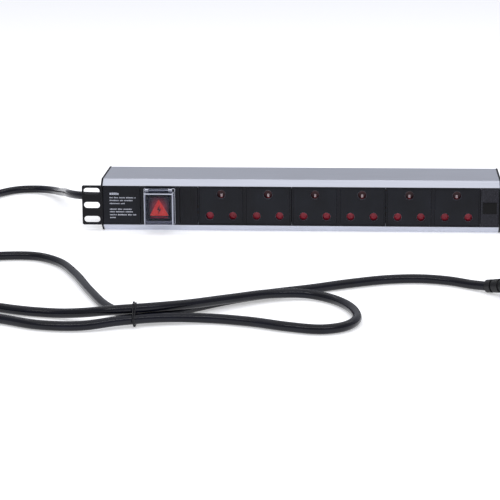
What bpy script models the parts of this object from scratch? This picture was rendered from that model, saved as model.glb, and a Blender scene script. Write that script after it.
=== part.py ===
"""Rack power strip: a 19 inch aluminium strip with six shuttered round-pin sockets, a lit rocker switch
under a hinged clear cover, rack ears, and its mains lead lying in front as a tied hank with a plug.

Frame: X runs along the strip, the sockets face -Y, Z is up, and the origin is the middle of the
underside. Sizes are written in millimetres and turned into metres by the helpers.
"""

from math import atan2, cos, hypot, pi, radians, sin

import bmesh
import bpy
from mathutils import Euler, Matrix, Vector

MM = 0.001
GAP = 0.3
FREE_GAP = 1.4

# Housing, an extrusion with chamfered front edges
HALF_LENGTH = 218.0
BODY_BACK = 38.0
BODY_FRONT = -38.0
BODY_HEIGHT = 58.2
CHAMFER_DEPTH = 9.0
FRONT_LOW = 7.9
FRONT_HIGH = 51.8
WALL = 1.8
LEDGE_FRONT = -34.9
LEDGE_BACK = -33.5
LEDGE_LOW = 10.6
LEDGE_HIGH = 49.2

# End brackets with one-unit rack ears
BRACKET_INNER = 218.2
BRACKET_OUTER = 220.2
EAR_TIP = 241.3
EAR_LOW = 7.7
EAR_HIGH = 52.1
EAR_FRONT = -38.6
EAR_BACK = -36.4
SLOT_INNER = 221.5
SLOT_OUTER = 239.3
SLOT_HEIGHT = 7.0
SLOT_PITCH = 15.875
SCREW_Y = 4.0
SCREW_LOW = 5.2
SCREW_HIGH = 53.0
SCREW_HOLE = 1.9
SCREW_DEPTH = 18.0

# Front panels, from left to right
PANEL_FRONT = -37.7
PANEL_BACK = -35.3
PANEL_LOW = 8.25
PANEL_HIGH = 51.45
LABEL_END = -176.6
SWITCH_END = -132.6
SOCKETS_START = -112.6
MODULE_WIDTH = 103.4
MODULES = 3
SOCKETS_END = SOCKETS_START + MODULES * MODULE_WIDTH
SEAM = 0.2
BADGE_LEFT = 200.2
BADGE_RIGHT = 215.2
BADGE_LOW = 23.0
BADGE_HIGH = 35.4

# Sockets: an earth hole over a live and a neutral one
SOCKET_PITCH = MODULE_WIDTH / 2
SOCKETS = 2 * MODULES
PIN_SPACING = 25.4
EARTH_Z = 42.8
LINE_Z = 18.5
EARTH_HOLE = 4.6
LINE_HOLE = 4.3
FACE_WIDTH = 47.6
FACE_HEIGHT = 40.0
FACE_FRONT = -37.9
FACE_MIDDLE_Z = 29.85
HOLE_BACK = -31.8
GUIDE_WALL = 1.4

# Shutters slide down when an earth pin pushes on the stem
SHUTTER_FRONT = -31.3
SHUTTER_BACK = -29.9
SHUTTER_LOW = 13.8
SHUTTER_HIGH = 23.2
STEM_TOP = 47.0
ARM_LOW = 36.9
ARM_HIGH = 38.4
SPRING_X = 8.2
SPRING_Y = -30.6
SPRING_LOW = 25.0
SPRING_HIGH = 36.7
SPRING_RADIUS = 1.6
SPRING_WIRE = 0.25
SPRING_TURNS = 4
SHELF_LOW = 23.6
SHELF_HIGH = 24.7

# Socket bases and busbars
BASE_FRONT = -28.0
BASE_BACK = -7.0
BASE_BORE = 5.5
SLEEVE_OUTER = 4.9
SLEEVE_INNER = 3.75
SLEEVE_FRONT = -27.0
SLEEVE_BACK = -8.0
BAR_FRONT = -6.6
BAR_BACK = -5.2
BAR_START = -139.0
LIVE_BAR_Z = 21.8
NEUTRAL_BAR_Z = 15.2
BAR_HEIGHT = 3.2
STEM_RADIUS = 1.3

# Rocker switch
SWITCH_X = -155.6
SWITCH_Z = 29.0
SWITCH_FLANGE_FRONT = -39.5
SWITCH_FLANGE_BACK = -38.0
SWITCH_BACK = -12.0
ROCKER_PIVOT_Y = -33.0
ROCKER_WIDTH = 22.0
ROCKER_TILT = radians(12)

# Clear cover, hinged along its top
COVER_LEFT = -172.4
COVER_RIGHT = -138.8
COVER_LOW = 10.4
COVER_HIGH = 46.2
COVER_FRONT = -52.0
COVER_BACK = -40.7
COVER_WALL = 1.4
HINGE_Y = -42.7
HINGE_Z = 48.0
HINGE_PIN = 0.85
HINGE_HOLE = 1.1
HINGE_BARREL = 2.0
HINGE_LUG = 1.6
BARREL_HALF = 10.6
LUG_GAP = 0.4
LUG_LENGTH = 4.0
FRAME_FRONT = -40.3
FRAME_BACK = -37.9
FRAME_MARGIN = 1.2
FRAME_LOW = 9.0
FRAME_HIGH = 50.2

# Lead
CORD_RADIUS = 4.6
WIRE_RADIUS = 1.3
GLAND_Y = 8.0
GLAND_Z = 30.0
CORD_POINTS = 80
# Through the gland, back and down to the bench, round in front, twice through the tie, then to the plug
CORD_ROUTE = [
    (-209.5, 8, 30), (-219, 8, 30), (-231, 8, 30), (-244, 11, 29.7), (-256, 20.5, 28.4), (-267, 38, 26),
    (-278, 74, 19.8), (-291, 112, 12.2), (-305, 141, 7.6), (-326, 158, 5.2), (-349, 156, 4.8),
    (-368, 136, 4.8), (-381, 106, 4.8), (-402, 45, 4.8), (-420, -35, 4.8), (-428, -120, 4.8),
    (-421, -210, 4.8), (-397, -290, 4.8), (-354, -351, 4.8), (-305, -387, 4.8), (-260, -406, 4.8),
    (-222, -424, 4.8), (-184, -427, 5.2), (-151, -416, 7.0), (-114, -403, 6.8), (-68, -397, 4.9),
    (-31, -406, 4.8), (4, -421, 4.8), (34, -428, 4.8), (54, -419, 4.8), (65, -398, 4.8), (64, -371, 4.8),
    (55, -345, 4.8), (39, -323, 4.8), (16, -311, 5.6), (-17, -319, 7.4), (-54, -345, 9.4),
    (-89, -377, 12.8), (-124, -399, 15.2), (-158, -406, 14.2), (-184, -397, 9.2), (-211, -386, 5.2),
    (-248, -377, 4.8), (-290, -357, 4.8), (-338, -322, 4.8), (-367, -272, 4.8), (-363, -218, 4.8),
    (-338, -184, 4.8), (-306, -171, 4.8), (-271, -171, 4.8), (-242, -195, 4.8), (-218, -242, 4.8),
    (-194, -304, 4.8), (-171, -357, 4.8), (-151, -387, 6.6), (-128, -395, 7.0), (-104, -382, 5.8),
    (-82, -356, 4.8), (-52, -330, 4.8), (-18, -309, 4.8), (20, -290, 4.8), (59, -268, 4.8),
    (95, -252, 4.8), (127, -248, 4.8), (155, -255, 4.8), (177, -269, 5.0), (190, -279, 6.3),
]
TIE_X = -137.0
TIE_WIDTH = 3.2
TIE_CLEARANCE = 1.5
TIE_THICKNESS = 0.7

# Plug, lying on its back with the pins up
RELIEF_START = (190.6, -279.5, 6.4)
PLUG_HEADING = atan2(-0.6, 0.8)
RELIEF_LENGTH = 34.0
RELIEF_RISE = 6.6
PLUG_LENGTH = 50.0
PLUG_WIDTH = 48.0
PLUG_THICKNESS = 27.0
PLUG_PIN_SPACING = 25.4
PLUG_EARTH_OFFSET = 28.6
PLUG_LINE_PIN = (3.53, 20.6)
PLUG_EARTH_PIN = (4.35, 28.0)


def clear_scene():
    for old in list(bpy.data.objects):
        bpy.data.objects.remove(old)


def new_collection(name):
    made = bpy.data.collections.new(name)
    bpy.context.scene.collection.children.link(made)
    return made


def new_material(name, colour, roughness, metallic=0.0, alpha=1.0):
    made = bpy.data.materials.new(name)
    made.use_nodes = True
    shader = made.node_tree.nodes["Principled BSDF"]
    shader.inputs["Base Color"].default_value = (*colour, 1.0)
    shader.inputs["Roughness"].default_value = roughness
    shader.inputs["Metallic"].default_value = metallic
    shader.inputs["Alpha"].default_value = alpha
    made.diffuse_color = (*colour, alpha)
    return made


clear_scene()
parts = new_collection("rack_power_strip")
cutters = new_collection("cutters")

aluminium = new_material("anodised_aluminium", (0.42, 0.43, 0.50), 0.38, 0.9)
black_steel = new_material("powder_coated_steel", (0.02, 0.02, 0.024), 0.55, 0.3)
black_plastic = new_material("black_abs", (0.018, 0.018, 0.024), 0.4)
red_plastic = new_material("red_shutter_plastic", (0.45, 0.03, 0.03), 0.4)
lamp_red = new_material("red_rocker", (0.75, 0.06, 0.03), 0.25)
clear_plastic = new_material("clear_polycarbonate", (0.85, 0.87, 0.92), 0.08, 0.0, 0.25)
brass = new_material("brass", (0.7, 0.5, 0.2), 0.3, 1.0)
zinc = new_material("zinc_plated_steel", (0.55, 0.55, 0.57), 0.3, 1.0)
spring_steel = new_material("spring_steel", (0.5, 0.5, 0.52), 0.3, 1.0)
ivory_plastic = new_material("ivory_urea", (0.75, 0.72, 0.62), 0.5)
cord_pvc = new_material("black_pvc", (0.012, 0.012, 0.014), 0.45)
glass = new_material("lamp_glass", (0.9, 0.4, 0.25), 0.1)
live_pvc = new_material("red_wire", (0.5, 0.02, 0.02), 0.4)
neutral_pvc = new_material("black_wire", (0.02, 0.02, 0.02), 0.4)
earth_pvc = new_material("green_wire", (0.03, 0.25, 0.06), 0.4)


def place(name, mesh, material, collection=None):
    obj = bpy.data.objects.new(name, mesh)
    (collection or parts).objects.link(obj)
    if material:
        mesh.materials.clear()
        mesh.materials.append(material)
    return obj


def smooth(obj, degrees=35):
    obj.data.shade_smooth()
    obj.data.set_sharp_from_angle(angle=radians(degrees))
    return obj


def add_box(bm, low, high):
    """An axis-aligned box between two corners given in mm."""
    low, high = Vector(low) * MM, Vector(high) * MM
    size = high - low
    matrix = Matrix.Translation((low + high) / 2) @ Matrix.Diagonal((*size, 1))
    bmesh.ops.create_cube(bm, size=1, matrix=matrix)


def add_rod(bm, start, end, radius, segments=20, end_radius=None):
    """A capped cylinder, or cone, between two points given in mm."""
    start, end = Vector(start) * MM, Vector(end) * MM
    along = end - start
    turn = along.to_track_quat("Z", "Y").to_matrix().to_4x4()
    matrix = Matrix.Translation((start + end) / 2) @ turn
    far = radius if end_radius is None else end_radius
    bmesh.ops.create_cone(
        bm, cap_ends=True, segments=segments, radius1=radius * MM, radius2=far * MM, depth=along.length,
        matrix=matrix,
    )


def solid(name, material, fill, collection=None):
    """A mesh object whose shape is drawn by fill(bm)."""
    bm = bmesh.new()
    fill(bm)
    bmesh.ops.recalc_face_normals(bm, faces=bm.faces)
    mesh = bpy.data.meshes.new(name)
    bm.to_mesh(mesh)
    bm.free()
    return place(name, mesh, material, collection)


def boolean(target, fill, operation, name):
    """Cuts or joins a helper shape, kept as a live modifier."""
    helper = solid(name, None, fill, cutters)
    helper.hide_render = True
    helper.display_type = "WIRE"
    modifier = target.modifiers.new(name, "BOOLEAN")
    modifier.object = helper
    modifier.operation = operation
    modifier.solver = "EXACT"
    return target


def cut(target, fill):
    return boolean(target, fill, "DIFFERENCE", target.name + "_cutter")


def join(target, fill):
    return boolean(target, fill, "UNION", target.name + "_addition")


def bevel(obj, width, segments=2):
    modifier = obj.modifiers.new("edge_round", "BEVEL")
    modifier.width = width * MM
    modifier.segments = segments
    modifier.limit_method = "ANGLE"
    modifier.angle_limit = radians(40)
    return obj


def set_origin(obj, point):
    """Moves the object's origin to a point in mm, leaving its shape where it is."""
    point = Vector(point) * MM
    obj.data.transform(Matrix.Translation(-point))
    obj.location = point
    return obj


def arc(cx, cy, radius, start, end, steps):
    """Points along an arc, angles in degrees."""
    angles = [radians(start + (end - start) * i / steps) for i in range(steps + 1)]
    return [(cx + radius * cos(a), cy + radius * sin(a)) for a in angles]


def circle(cx, cy, radius, steps=20):
    return arc(cx, cy, radius, 0, 360, steps)[:-1]


def rounded_rectangle(x0, y0, x1, y1, radius, steps=4):
    return (
        arc(x1 - radius, y1 - radius, radius, 0, 90, steps)
        + arc(x0 + radius, y1 - radius, radius, 90, 180, steps)
        + arc(x0 + radius, y0 + radius, radius, 180, 270, steps)
        + arc(x1 - radius, y0 + radius, radius, 270, 360, steps)
    )


def extruded(name, material, loops, plane, near, far):
    """A flat outline with its holes, extruded from near to far across the plane "YZ" or "XZ", as a mesh."""
    curve = bpy.data.curves.new(name, "CURVE")
    curve.dimensions = "2D"
    curve.fill_mode = "BOTH"
    curve.extrude = abs(far - near) / 2 * MM
    for loop in loops:
        spline = curve.splines.new("POLY")
        spline.points.add(len(loop) - 1)
        for point, (u, v) in zip(spline.points, loop):
            point.co = (u * MM, v * MM, 0, 1)
        spline.use_cyclic_u = True
    drawn = bpy.data.objects.new(name + "_outline", curve)
    middle = (near + far) / 2 * MM
    if plane == "YZ":
        shift = Matrix.Translation((middle, 0, 0))
        turn = Euler((pi / 2, 0, pi / 2))
    else:
        shift = Matrix.Translation((0, middle, 0))
        turn = Euler((pi / 2, 0, 0))
    drawn.matrix_world = shift @ turn.to_matrix().to_4x4()
    return curve_to_mesh(name, drawn, material)


def curve_to_mesh(name, drawn, material):
    """Turns a curve object into a welded mesh object in its place."""
    matrix = drawn.matrix_world.copy()
    bpy.context.scene.collection.objects.link(drawn)
    graph = bpy.context.evaluated_depsgraph_get()
    mesh = bpy.data.meshes.new_from_object(drawn.evaluated_get(graph))
    bpy.data.objects.remove(drawn)
    mesh.name = name
    bm = bmesh.new()
    bm.from_mesh(mesh)
    bmesh.ops.remove_doubles(bm, verts=bm.verts, dist=0.00001)
    bmesh.ops.recalc_face_normals(bm, faces=bm.faces)
    bm.to_mesh(mesh)
    bm.free()
    mesh.transform(matrix)
    return place(name, mesh, material)


def turned(name, material, profile, location, axis, steps=24, closed=False):
    """A profile of (radius, height) points in mm, turned about an axis that passes through location."""
    mesh = bpy.data.meshes.new(name)
    points = [(r * MM, 0, h * MM) for r, h in profile]
    edges = [(i, i + 1) for i in range(len(points) - 1)]
    if closed:
        edges.append((len(points) - 1, 0))
    mesh.from_pydata(points, edges, [])
    obj = place(name, mesh, material)
    modifier = obj.modifiers.new("turn", "SCREW")
    modifier.steps = steps
    modifier.render_steps = steps
    modifier.use_merge_vertices = True
    modifier.merge_threshold = 0.00001
    modifier.use_smooth_shade = True
    obj.rotation_euler = Vector(axis).to_track_quat("Z", "Y").to_euler()
    obj.location = Vector(location) * MM
    return obj


def wire(name, material, points, radius, resolution):
    """A round wire or tube along points in mm."""
    curve = bpy.data.curves.new(name, "CURVE")
    curve.dimensions = "3D"
    curve.bevel_depth = radius * MM
    curve.bevel_resolution = resolution
    curve.use_fill_caps = True
    spline = curve.splines.new("POLY")
    spline.points.add(len(points) - 1)
    for point, place_mm in zip(spline.points, points):
        point.co = (*[value * MM for value in place_mm], 1)
    obj = bpy.data.objects.new(name, curve)
    parts.objects.link(obj)
    curve.materials.append(material)
    return obj


def smooth_curve(route, per_span=16):
    """Points along a centripetal Catmull-Rom curve through the route."""
    knots = [Vector(p) for p in route]
    knots = [2 * knots[0] - knots[1], *knots, 2 * knots[-1] - knots[-2]]
    found = []
    for i in range(len(route) - 1):
        p = knots[i : i + 4]
        t = [0.0]
        for a, b in zip(p, p[1:]):
            t.append(t[-1] + (b - a).length ** 0.5)
        for step in range(per_span):
            u = t[1] + (t[2] - t[1]) * step / per_span
            a = [p[k].lerp(p[k + 1], (u - t[k]) / (t[k + 1] - t[k])) for k in range(3)]
            b = [a[k].lerp(a[k + 1], (u - t[k]) / (t[k + 2] - t[k])) for k in range(2)]
            found.append(b[0].lerp(b[1], (u - t[1]) / (t[2] - t[1])))
    found.append(knots[-2])
    return found


def thinned(points, count):
    """About count of the points, closer together where the line turns."""
    weights = [0.0]
    for i in range(1, len(points)):
        step = (points[i] - points[i - 1]).length
        turn = 0.0
        if i + 1 < len(points):
            turn = (points[i] - points[i - 1]).angle(points[i + 1] - points[i])
        weights.append(weights[-1] + step / 60 + turn * 1.9)
    chosen = []
    k = 0
    for n in range(count):
        wanted = weights[-1] * n / (count - 1)
        while k < len(points) - 1 and weights[k] < wanted:
            k += 1
        chosen.append(points[k])
    return chosen


def socket_x(index):
    return SOCKETS_START + SOCKET_PITCH * (index + 0.5)


def make_housing():
    """The extrusion: one C-shaped outline, open at the front between the two ledges."""
    low_slope = FRONT_LOW / CHAMFER_DEPTH
    high_slope = (BODY_HEIGHT - FRONT_HIGH) / CHAMFER_DEPTH
    chamfer_end = BODY_FRONT + CHAMFER_DEPTH
    low_rise = WALL * hypot(1, low_slope)
    high_rise = WALL * hypot(1, high_slope)

    def low_inner(y):
        return FRONT_LOW - low_slope * (y - BODY_FRONT) + low_rise

    def high_inner(y):
        return FRONT_HIGH + high_slope * (y - BODY_FRONT) - high_rise

    top = BODY_HEIGHT - WALL
    low_corner = BODY_FRONT + (FRONT_LOW + low_rise - WALL) / low_slope
    high_corner = BODY_FRONT + (top - FRONT_HIGH + high_rise) / high_slope
    back = BODY_BACK - WALL
    port = 3.4
    outline = [
        (BODY_FRONT, FRONT_LOW), (chamfer_end, 0), (BODY_BACK, 0), (BODY_BACK, BODY_HEIGHT),
        (chamfer_end, BODY_HEIGHT), (BODY_FRONT, FRONT_HIGH), (LEDGE_FRONT, FRONT_HIGH),
        (LEDGE_FRONT, LEDGE_HIGH), (LEDGE_BACK, LEDGE_HIGH), (LEDGE_BACK, high_inner(LEDGE_BACK)),
        (high_corner, top), (SCREW_Y - port, top), (SCREW_Y - port, top - 2 * port),
        (SCREW_Y + port, top - 2 * port), (SCREW_Y + port, top), (back, top), (back, WALL),
        (SCREW_Y + port, WALL), (SCREW_Y + port, WALL + 2 * port), (SCREW_Y - port, WALL + 2 * port),
        (SCREW_Y - port, WALL), (low_corner, WALL), (LEDGE_BACK, low_inner(LEDGE_BACK)),
        (LEDGE_BACK, LEDGE_LOW), (LEDGE_FRONT, LEDGE_LOW), (LEDGE_FRONT, FRONT_LOW),
    ]
    housing = extruded("housing", aluminium, [outline], "YZ", -HALF_LENGTH, HALF_LENGTH)

    def screw_ports(bm):
        for side in (-1, 1):
            for z in (SCREW_LOW, SCREW_HIGH):
                start = (side * (HALF_LENGTH + 1), SCREW_Y, z)
                add_rod(bm, start, (side * (HALF_LENGTH - SCREW_DEPTH), SCREW_Y, z), SCREW_HOLE, 12)

    cut(housing, screw_ports)


def make_bracket(name, side):
    """An end plate and its rack ear in one folded piece."""
    chamfer_end = BODY_FRONT + CHAMFER_DEPTH
    plate = [
        (BODY_FRONT - 0.3, FRONT_LOW - 0.4), (chamfer_end - 0.3, 0), (BODY_BACK + 0.5, 0),
        (BODY_BACK + 0.5, BODY_HEIGHT + 0.4), (chamfer_end - 0.3, BODY_HEIGHT + 0.4),
        (BODY_FRONT - 0.3, FRONT_HIGH + 0.5),
    ]
    holes = [circle(SCREW_Y, z, SCREW_HOLE, 12) for z in (SCREW_LOW, SCREW_HIGH)]
    if side < 0:
        holes.append(circle(GLAND_Y, GLAND_Z, 8.1, 24))
    bracket = extruded(name, black_steel, [plate, *holes], "YZ", side * BRACKET_INNER, side * BRACKET_OUTER)
    edges = sorted((side * (BRACKET_INNER + 0.6), side * EAR_TIP))
    ear = rounded_rectangle(edges[0], EAR_LOW, edges[1], EAR_HIGH, 1.8, 3)
    slots = []
    middle = (EAR_LOW + EAR_HIGH) / 2
    ends = sorted((side * SLOT_INNER, side * SLOT_OUTER))
    for row in (-1, 0, 1):
        z = middle + row * SLOT_PITCH
        half = SLOT_HEIGHT / 2
        slots.append(rounded_rectangle(ends[0], z - half, ends[1], z + half, half - 0.01, 3))
    flat = extruded(name + "_ear", None, [ear, *slots], "XZ", EAR_FRONT, EAR_BACK)
    parts.objects.unlink(flat)
    cutters.objects.link(flat)
    flat.hide_render = True
    flat.display_type = "WIRE"
    modifier = bracket.modifiers.new("ear", "BOOLEAN")
    modifier.object = flat
    modifier.operation = "UNION"


def make_end_screws():
    """Pan-head screws that hold each end plate to the extrusion's screw ports."""
    shank = 1.5
    profile = [
        (0, 2.2), (2.0, 2.0), (3.1, 1.0), (3.2, 0), (shank, 0), (shank, -13.0), (0.6, -15.0), (0, -15.0),
    ]
    for side, name in ((-1, "left"), (1, "right")):
        for number, z in ((1, SCREW_LOW), (2, SCREW_HIGH)):
            location = (side * (BRACKET_OUTER + GAP), SCREW_Y, z)
            turned(f"{name}_end_screw_{number}", zinc, profile, location, (side, 0, 0), 16)


def make_panel(name, start, end):
    def fill(bm):
        add_box(bm, (start + SEAM, PANEL_FRONT, PANEL_LOW), (end - SEAM, PANEL_BACK, PANEL_HIGH))

    return solid(name, black_plastic, fill)


def make_panels():
    make_panel("label_panel", -HALF_LENGTH + 0.1, LABEL_END)
    switch_panel = make_panel("switch_panel", LABEL_END, SWITCH_END)

    def window(bm):
        add_box(bm, (SWITCH_X - 12.6, -40, SWITCH_Z - 15.0), (SWITCH_X + 12.6, -30, SWITCH_Z + 15.0))

    cut(switch_panel, window)
    make_panel("spacer_panel", SWITCH_END, SOCKETS_START)
    make_panel("end_panel", SOCKETS_END, HALF_LENGTH - 0.1)

    def badge(bm):
        add_box(bm, (BADGE_LEFT, PANEL_FRONT - 0.7, BADGE_LOW), (BADGE_RIGHT, PANEL_FRONT - 0.25, BADGE_HIGH))

    solid("badge_plate", black_plastic, badge)


def make_socket_frame(index):
    """A double frame with one window for each socket face."""
    start = SOCKETS_START + index * MODULE_WIDTH
    frame = make_panel(f"socket_frame_{index + 1}", start, start + MODULE_WIDTH)

    def windows(bm):
        for socket in (2 * index, 2 * index + 1):
            x = socket_x(socket)
            half_w = FACE_WIDTH / 2 + 0.3
            half_h = FACE_HEIGHT / 2 + 0.3
            add_box(bm, (x - half_w, -40, FACE_MIDDLE_Z - half_h), (x + half_w, -30, FACE_MIDDLE_Z + half_h))

    cut(frame, windows)


def pin_places(x):
    half = PIN_SPACING / 2
    return [(x, EARTH_Z, EARTH_HOLE), (x - half, LINE_Z, LINE_HOLE), (x + half, LINE_Z, LINE_HOLE)]


def make_socket_face(index):
    """One socket face: a plate with a guide tube behind each pin hole."""
    x = socket_x(index)

    def plate(bm):
        low = (x - FACE_WIDTH / 2, FACE_FRONT, FACE_MIDDLE_Z - FACE_HEIGHT / 2)
        add_box(bm, low, (x + FACE_WIDTH / 2, PANEL_BACK - 0.2, FACE_MIDDLE_Z + FACE_HEIGHT / 2))

    def guides(bm):
        for px, pz, radius in pin_places(x):
            add_rod(bm, (px, PANEL_BACK - 1, pz), (px, HOLE_BACK, pz), radius + GUIDE_WALL, 16)

    def bores(bm):
        for px, pz, radius in pin_places(x):
            add_rod(bm, (px, FACE_FRONT - 1, pz), (px, HOLE_BACK + 1, pz), radius, 20)

    face = solid(f"socket_face_{index + 1}", black_plastic, plate)
    join(face, guides)
    cut(face, bores)


def make_shutter(index):
    """A flat slide: a bar over both line holes, a stem behind the earth hole and an arm on its spring."""
    x = socket_x(index)
    reach = PIN_SPACING / 2 + 5.6
    outline = [
        (x - reach, SHUTTER_LOW), (x + reach, SHUTTER_LOW), (x + reach, SHUTTER_HIGH), (x + 2, SHUTTER_HIGH),
        (x + 2, ARM_LOW), (x + SPRING_X + 2.6, ARM_LOW), (x + SPRING_X + 2.6, ARM_HIGH), (x + 2, ARM_HIGH),
        (x + 2, STEM_TOP - 1.5), (x + 1, STEM_TOP), (x - 1, STEM_TOP), (x - 2, STEM_TOP - 1.5),
        (x - 2, SHUTTER_HIGH), (x - reach, SHUTTER_HIGH),
    ]
    shutter = extruded(f"shutter_{index + 1}", red_plastic, [outline], "XZ", SHUTTER_FRONT, SHUTTER_BACK)
    set_origin(shutter, (x, SPRING_Y, LINE_Z))


def make_shutter_spring(index):
    x = socket_x(index) + SPRING_X
    per_turn = 6
    steps = SPRING_TURNS * per_turn
    points = []
    for i in range(steps + 1):
        angle = 2 * pi * i / per_turn
        z = SPRING_LOW + 0.3 + (SPRING_HIGH - SPRING_LOW - 0.6) * i / steps
        points.append((x + SPRING_RADIUS * cos(angle), SPRING_Y + SPRING_RADIUS * sin(angle), z))
    wire(f"shutter_spring_{index + 1}", spring_steel, points, SPRING_WIRE, 0)


def make_socket_base(index):
    """The moulded block behind two sockets, with a bore for each contact and a shelf under each spring."""
    start = SOCKETS_START + index * MODULE_WIDTH
    pair = (2 * index, 2 * index + 1)

    def block(bm):
        add_box(bm, (start + 1.2, BASE_FRONT, 9.6), (start + MODULE_WIDTH - 1.2, BASE_BACK, 48.9))

    def shelves(bm):
        for socket in pair:
            x = socket_x(socket) + SPRING_X
            add_box(bm, (x - 2.2, HOLE_BACK + 0.3, SHELF_LOW), (x + 2.2, BASE_FRONT + 1, SHELF_HIGH))

    def bores(bm):
        for socket in pair:
            for px, pz, _ in pin_places(socket_x(socket)):
                add_rod(bm, (px, BASE_FRONT - 1, pz), (px, BASE_BACK + 1, pz), BASE_BORE, 12)

    base = solid(f"socket_base_{index + 1}", ivory_plastic, block)
    join(base, shelves)
    cut(base, bores)


def make_bar(name, offset, sleeve_z, bar_z, material):
    """A busbar: a strip with one sleeve for each socket's pin."""
    def strip(bm):
        half = BAR_HEIGHT / 2
        end = socket_x(SOCKETS - 1) + offset + 4
        add_box(bm, (BAR_START, BAR_FRONT, bar_z - half), (end, BAR_BACK, bar_z + half))

    def sleeves(bm):
        for socket in range(SOCKETS):
            x = socket_x(socket) + offset
            add_rod(bm, (x, SLEEVE_FRONT, sleeve_z), (x, SLEEVE_BACK, sleeve_z), SLEEVE_OUTER, 12)

    def stems(bm):
        for socket in range(SOCKETS):
            x = socket_x(socket) + offset
            add_rod(bm, (x, SLEEVE_BACK - 1, bar_z), (x, BAR_BACK - 0.5, bar_z), STEM_RADIUS, 8)

    def bores(bm):
        for socket in range(SOCKETS):
            x = socket_x(socket) + offset
            add_rod(bm, (x, SLEEVE_FRONT - 1, sleeve_z), (x, SLEEVE_BACK - 2, sleeve_z), SLEEVE_INNER, 12)

    bar = solid(name, material, strip)
    join(bar, stems)
    join(bar, sleeves)
    cut(bar, bores)


def make_bars():
    half = PIN_SPACING / 2
    make_bar("earth_bar", 0, EARTH_Z, EARTH_Z, brass)
    make_bar("live_bar", half, LINE_Z, LIVE_BAR_Z, brass)
    make_bar("neutral_bar", -half, LINE_Z, NEUTRAL_BAR_Z, brass)


def make_switch():
    def flange(bm):
        low = (SWITCH_X - 14, SWITCH_FLANGE_FRONT, SWITCH_Z - 16.2)
        add_box(bm, low, (SWITCH_X + 14, SWITCH_FLANGE_BACK, SWITCH_Z + 16.2))

    def barrel(bm):
        low = (SWITCH_X - 12.3, SWITCH_FLANGE_BACK - 1, SWITCH_Z - 14.7)
        add_box(bm, low, (SWITCH_X + 12.3, SWITCH_BACK, SWITCH_Z + 14.7))

    def pocket(bm):
        add_box(bm, (SWITCH_X - 11.35, -41, SWITCH_Z - 13.6), (SWITCH_X + 11.35, -24.0, SWITCH_Z + 13.6))

    body = solid("switch_body", black_plastic, flange)
    join(body, barrel)
    cut(body, pocket)
    make_rocker()

    def lamp(bm):
        add_rod(bm, (SWITCH_X - 5, -26.4, SWITCH_Z - 8), (SWITCH_X + 5, -26.4, SWITCH_Z - 8), 1.8, 14)

    smooth(solid("indicator_lamp", glass, lamp))

    def tab(bm):
        add_box(bm, (SWITCH_X - 3.1, SWITCH_BACK + 0.3, 35.2), (SWITCH_X + 3.1, -4.2, 36.0))

    solid("switch_tab", brass, tab)


def make_rocker():
    """The rocker's side outline about its pivot, tilted to its on position with the lower end pressed in."""
    level = [
        (-7.4, 11.6), (-6.7, 6), (-6.4, 0), (-6.7, -6), (-7.4, -11.6), (-6.2, -12.3), (-2.5, -12.3),
        (0.5, -9), (3.0, -3), (3.0, 3), (0.5, 9), (-2.5, 12.3), (-6.2, 12.3),
    ]
    c, s = cos(ROCKER_TILT), sin(ROCKER_TILT)
    outline = [(ROCKER_PIVOT_Y + y * c - z * s, SWITCH_Z + y * s + z * c) for y, z in level]
    half = ROCKER_WIDTH / 2
    rocker = extruded("rocker", lamp_red, [outline], "YZ", SWITCH_X - half, SWITCH_X + half)
    set_origin(rocker, (SWITCH_X, ROCKER_PIVOT_Y, SWITCH_Z))


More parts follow.
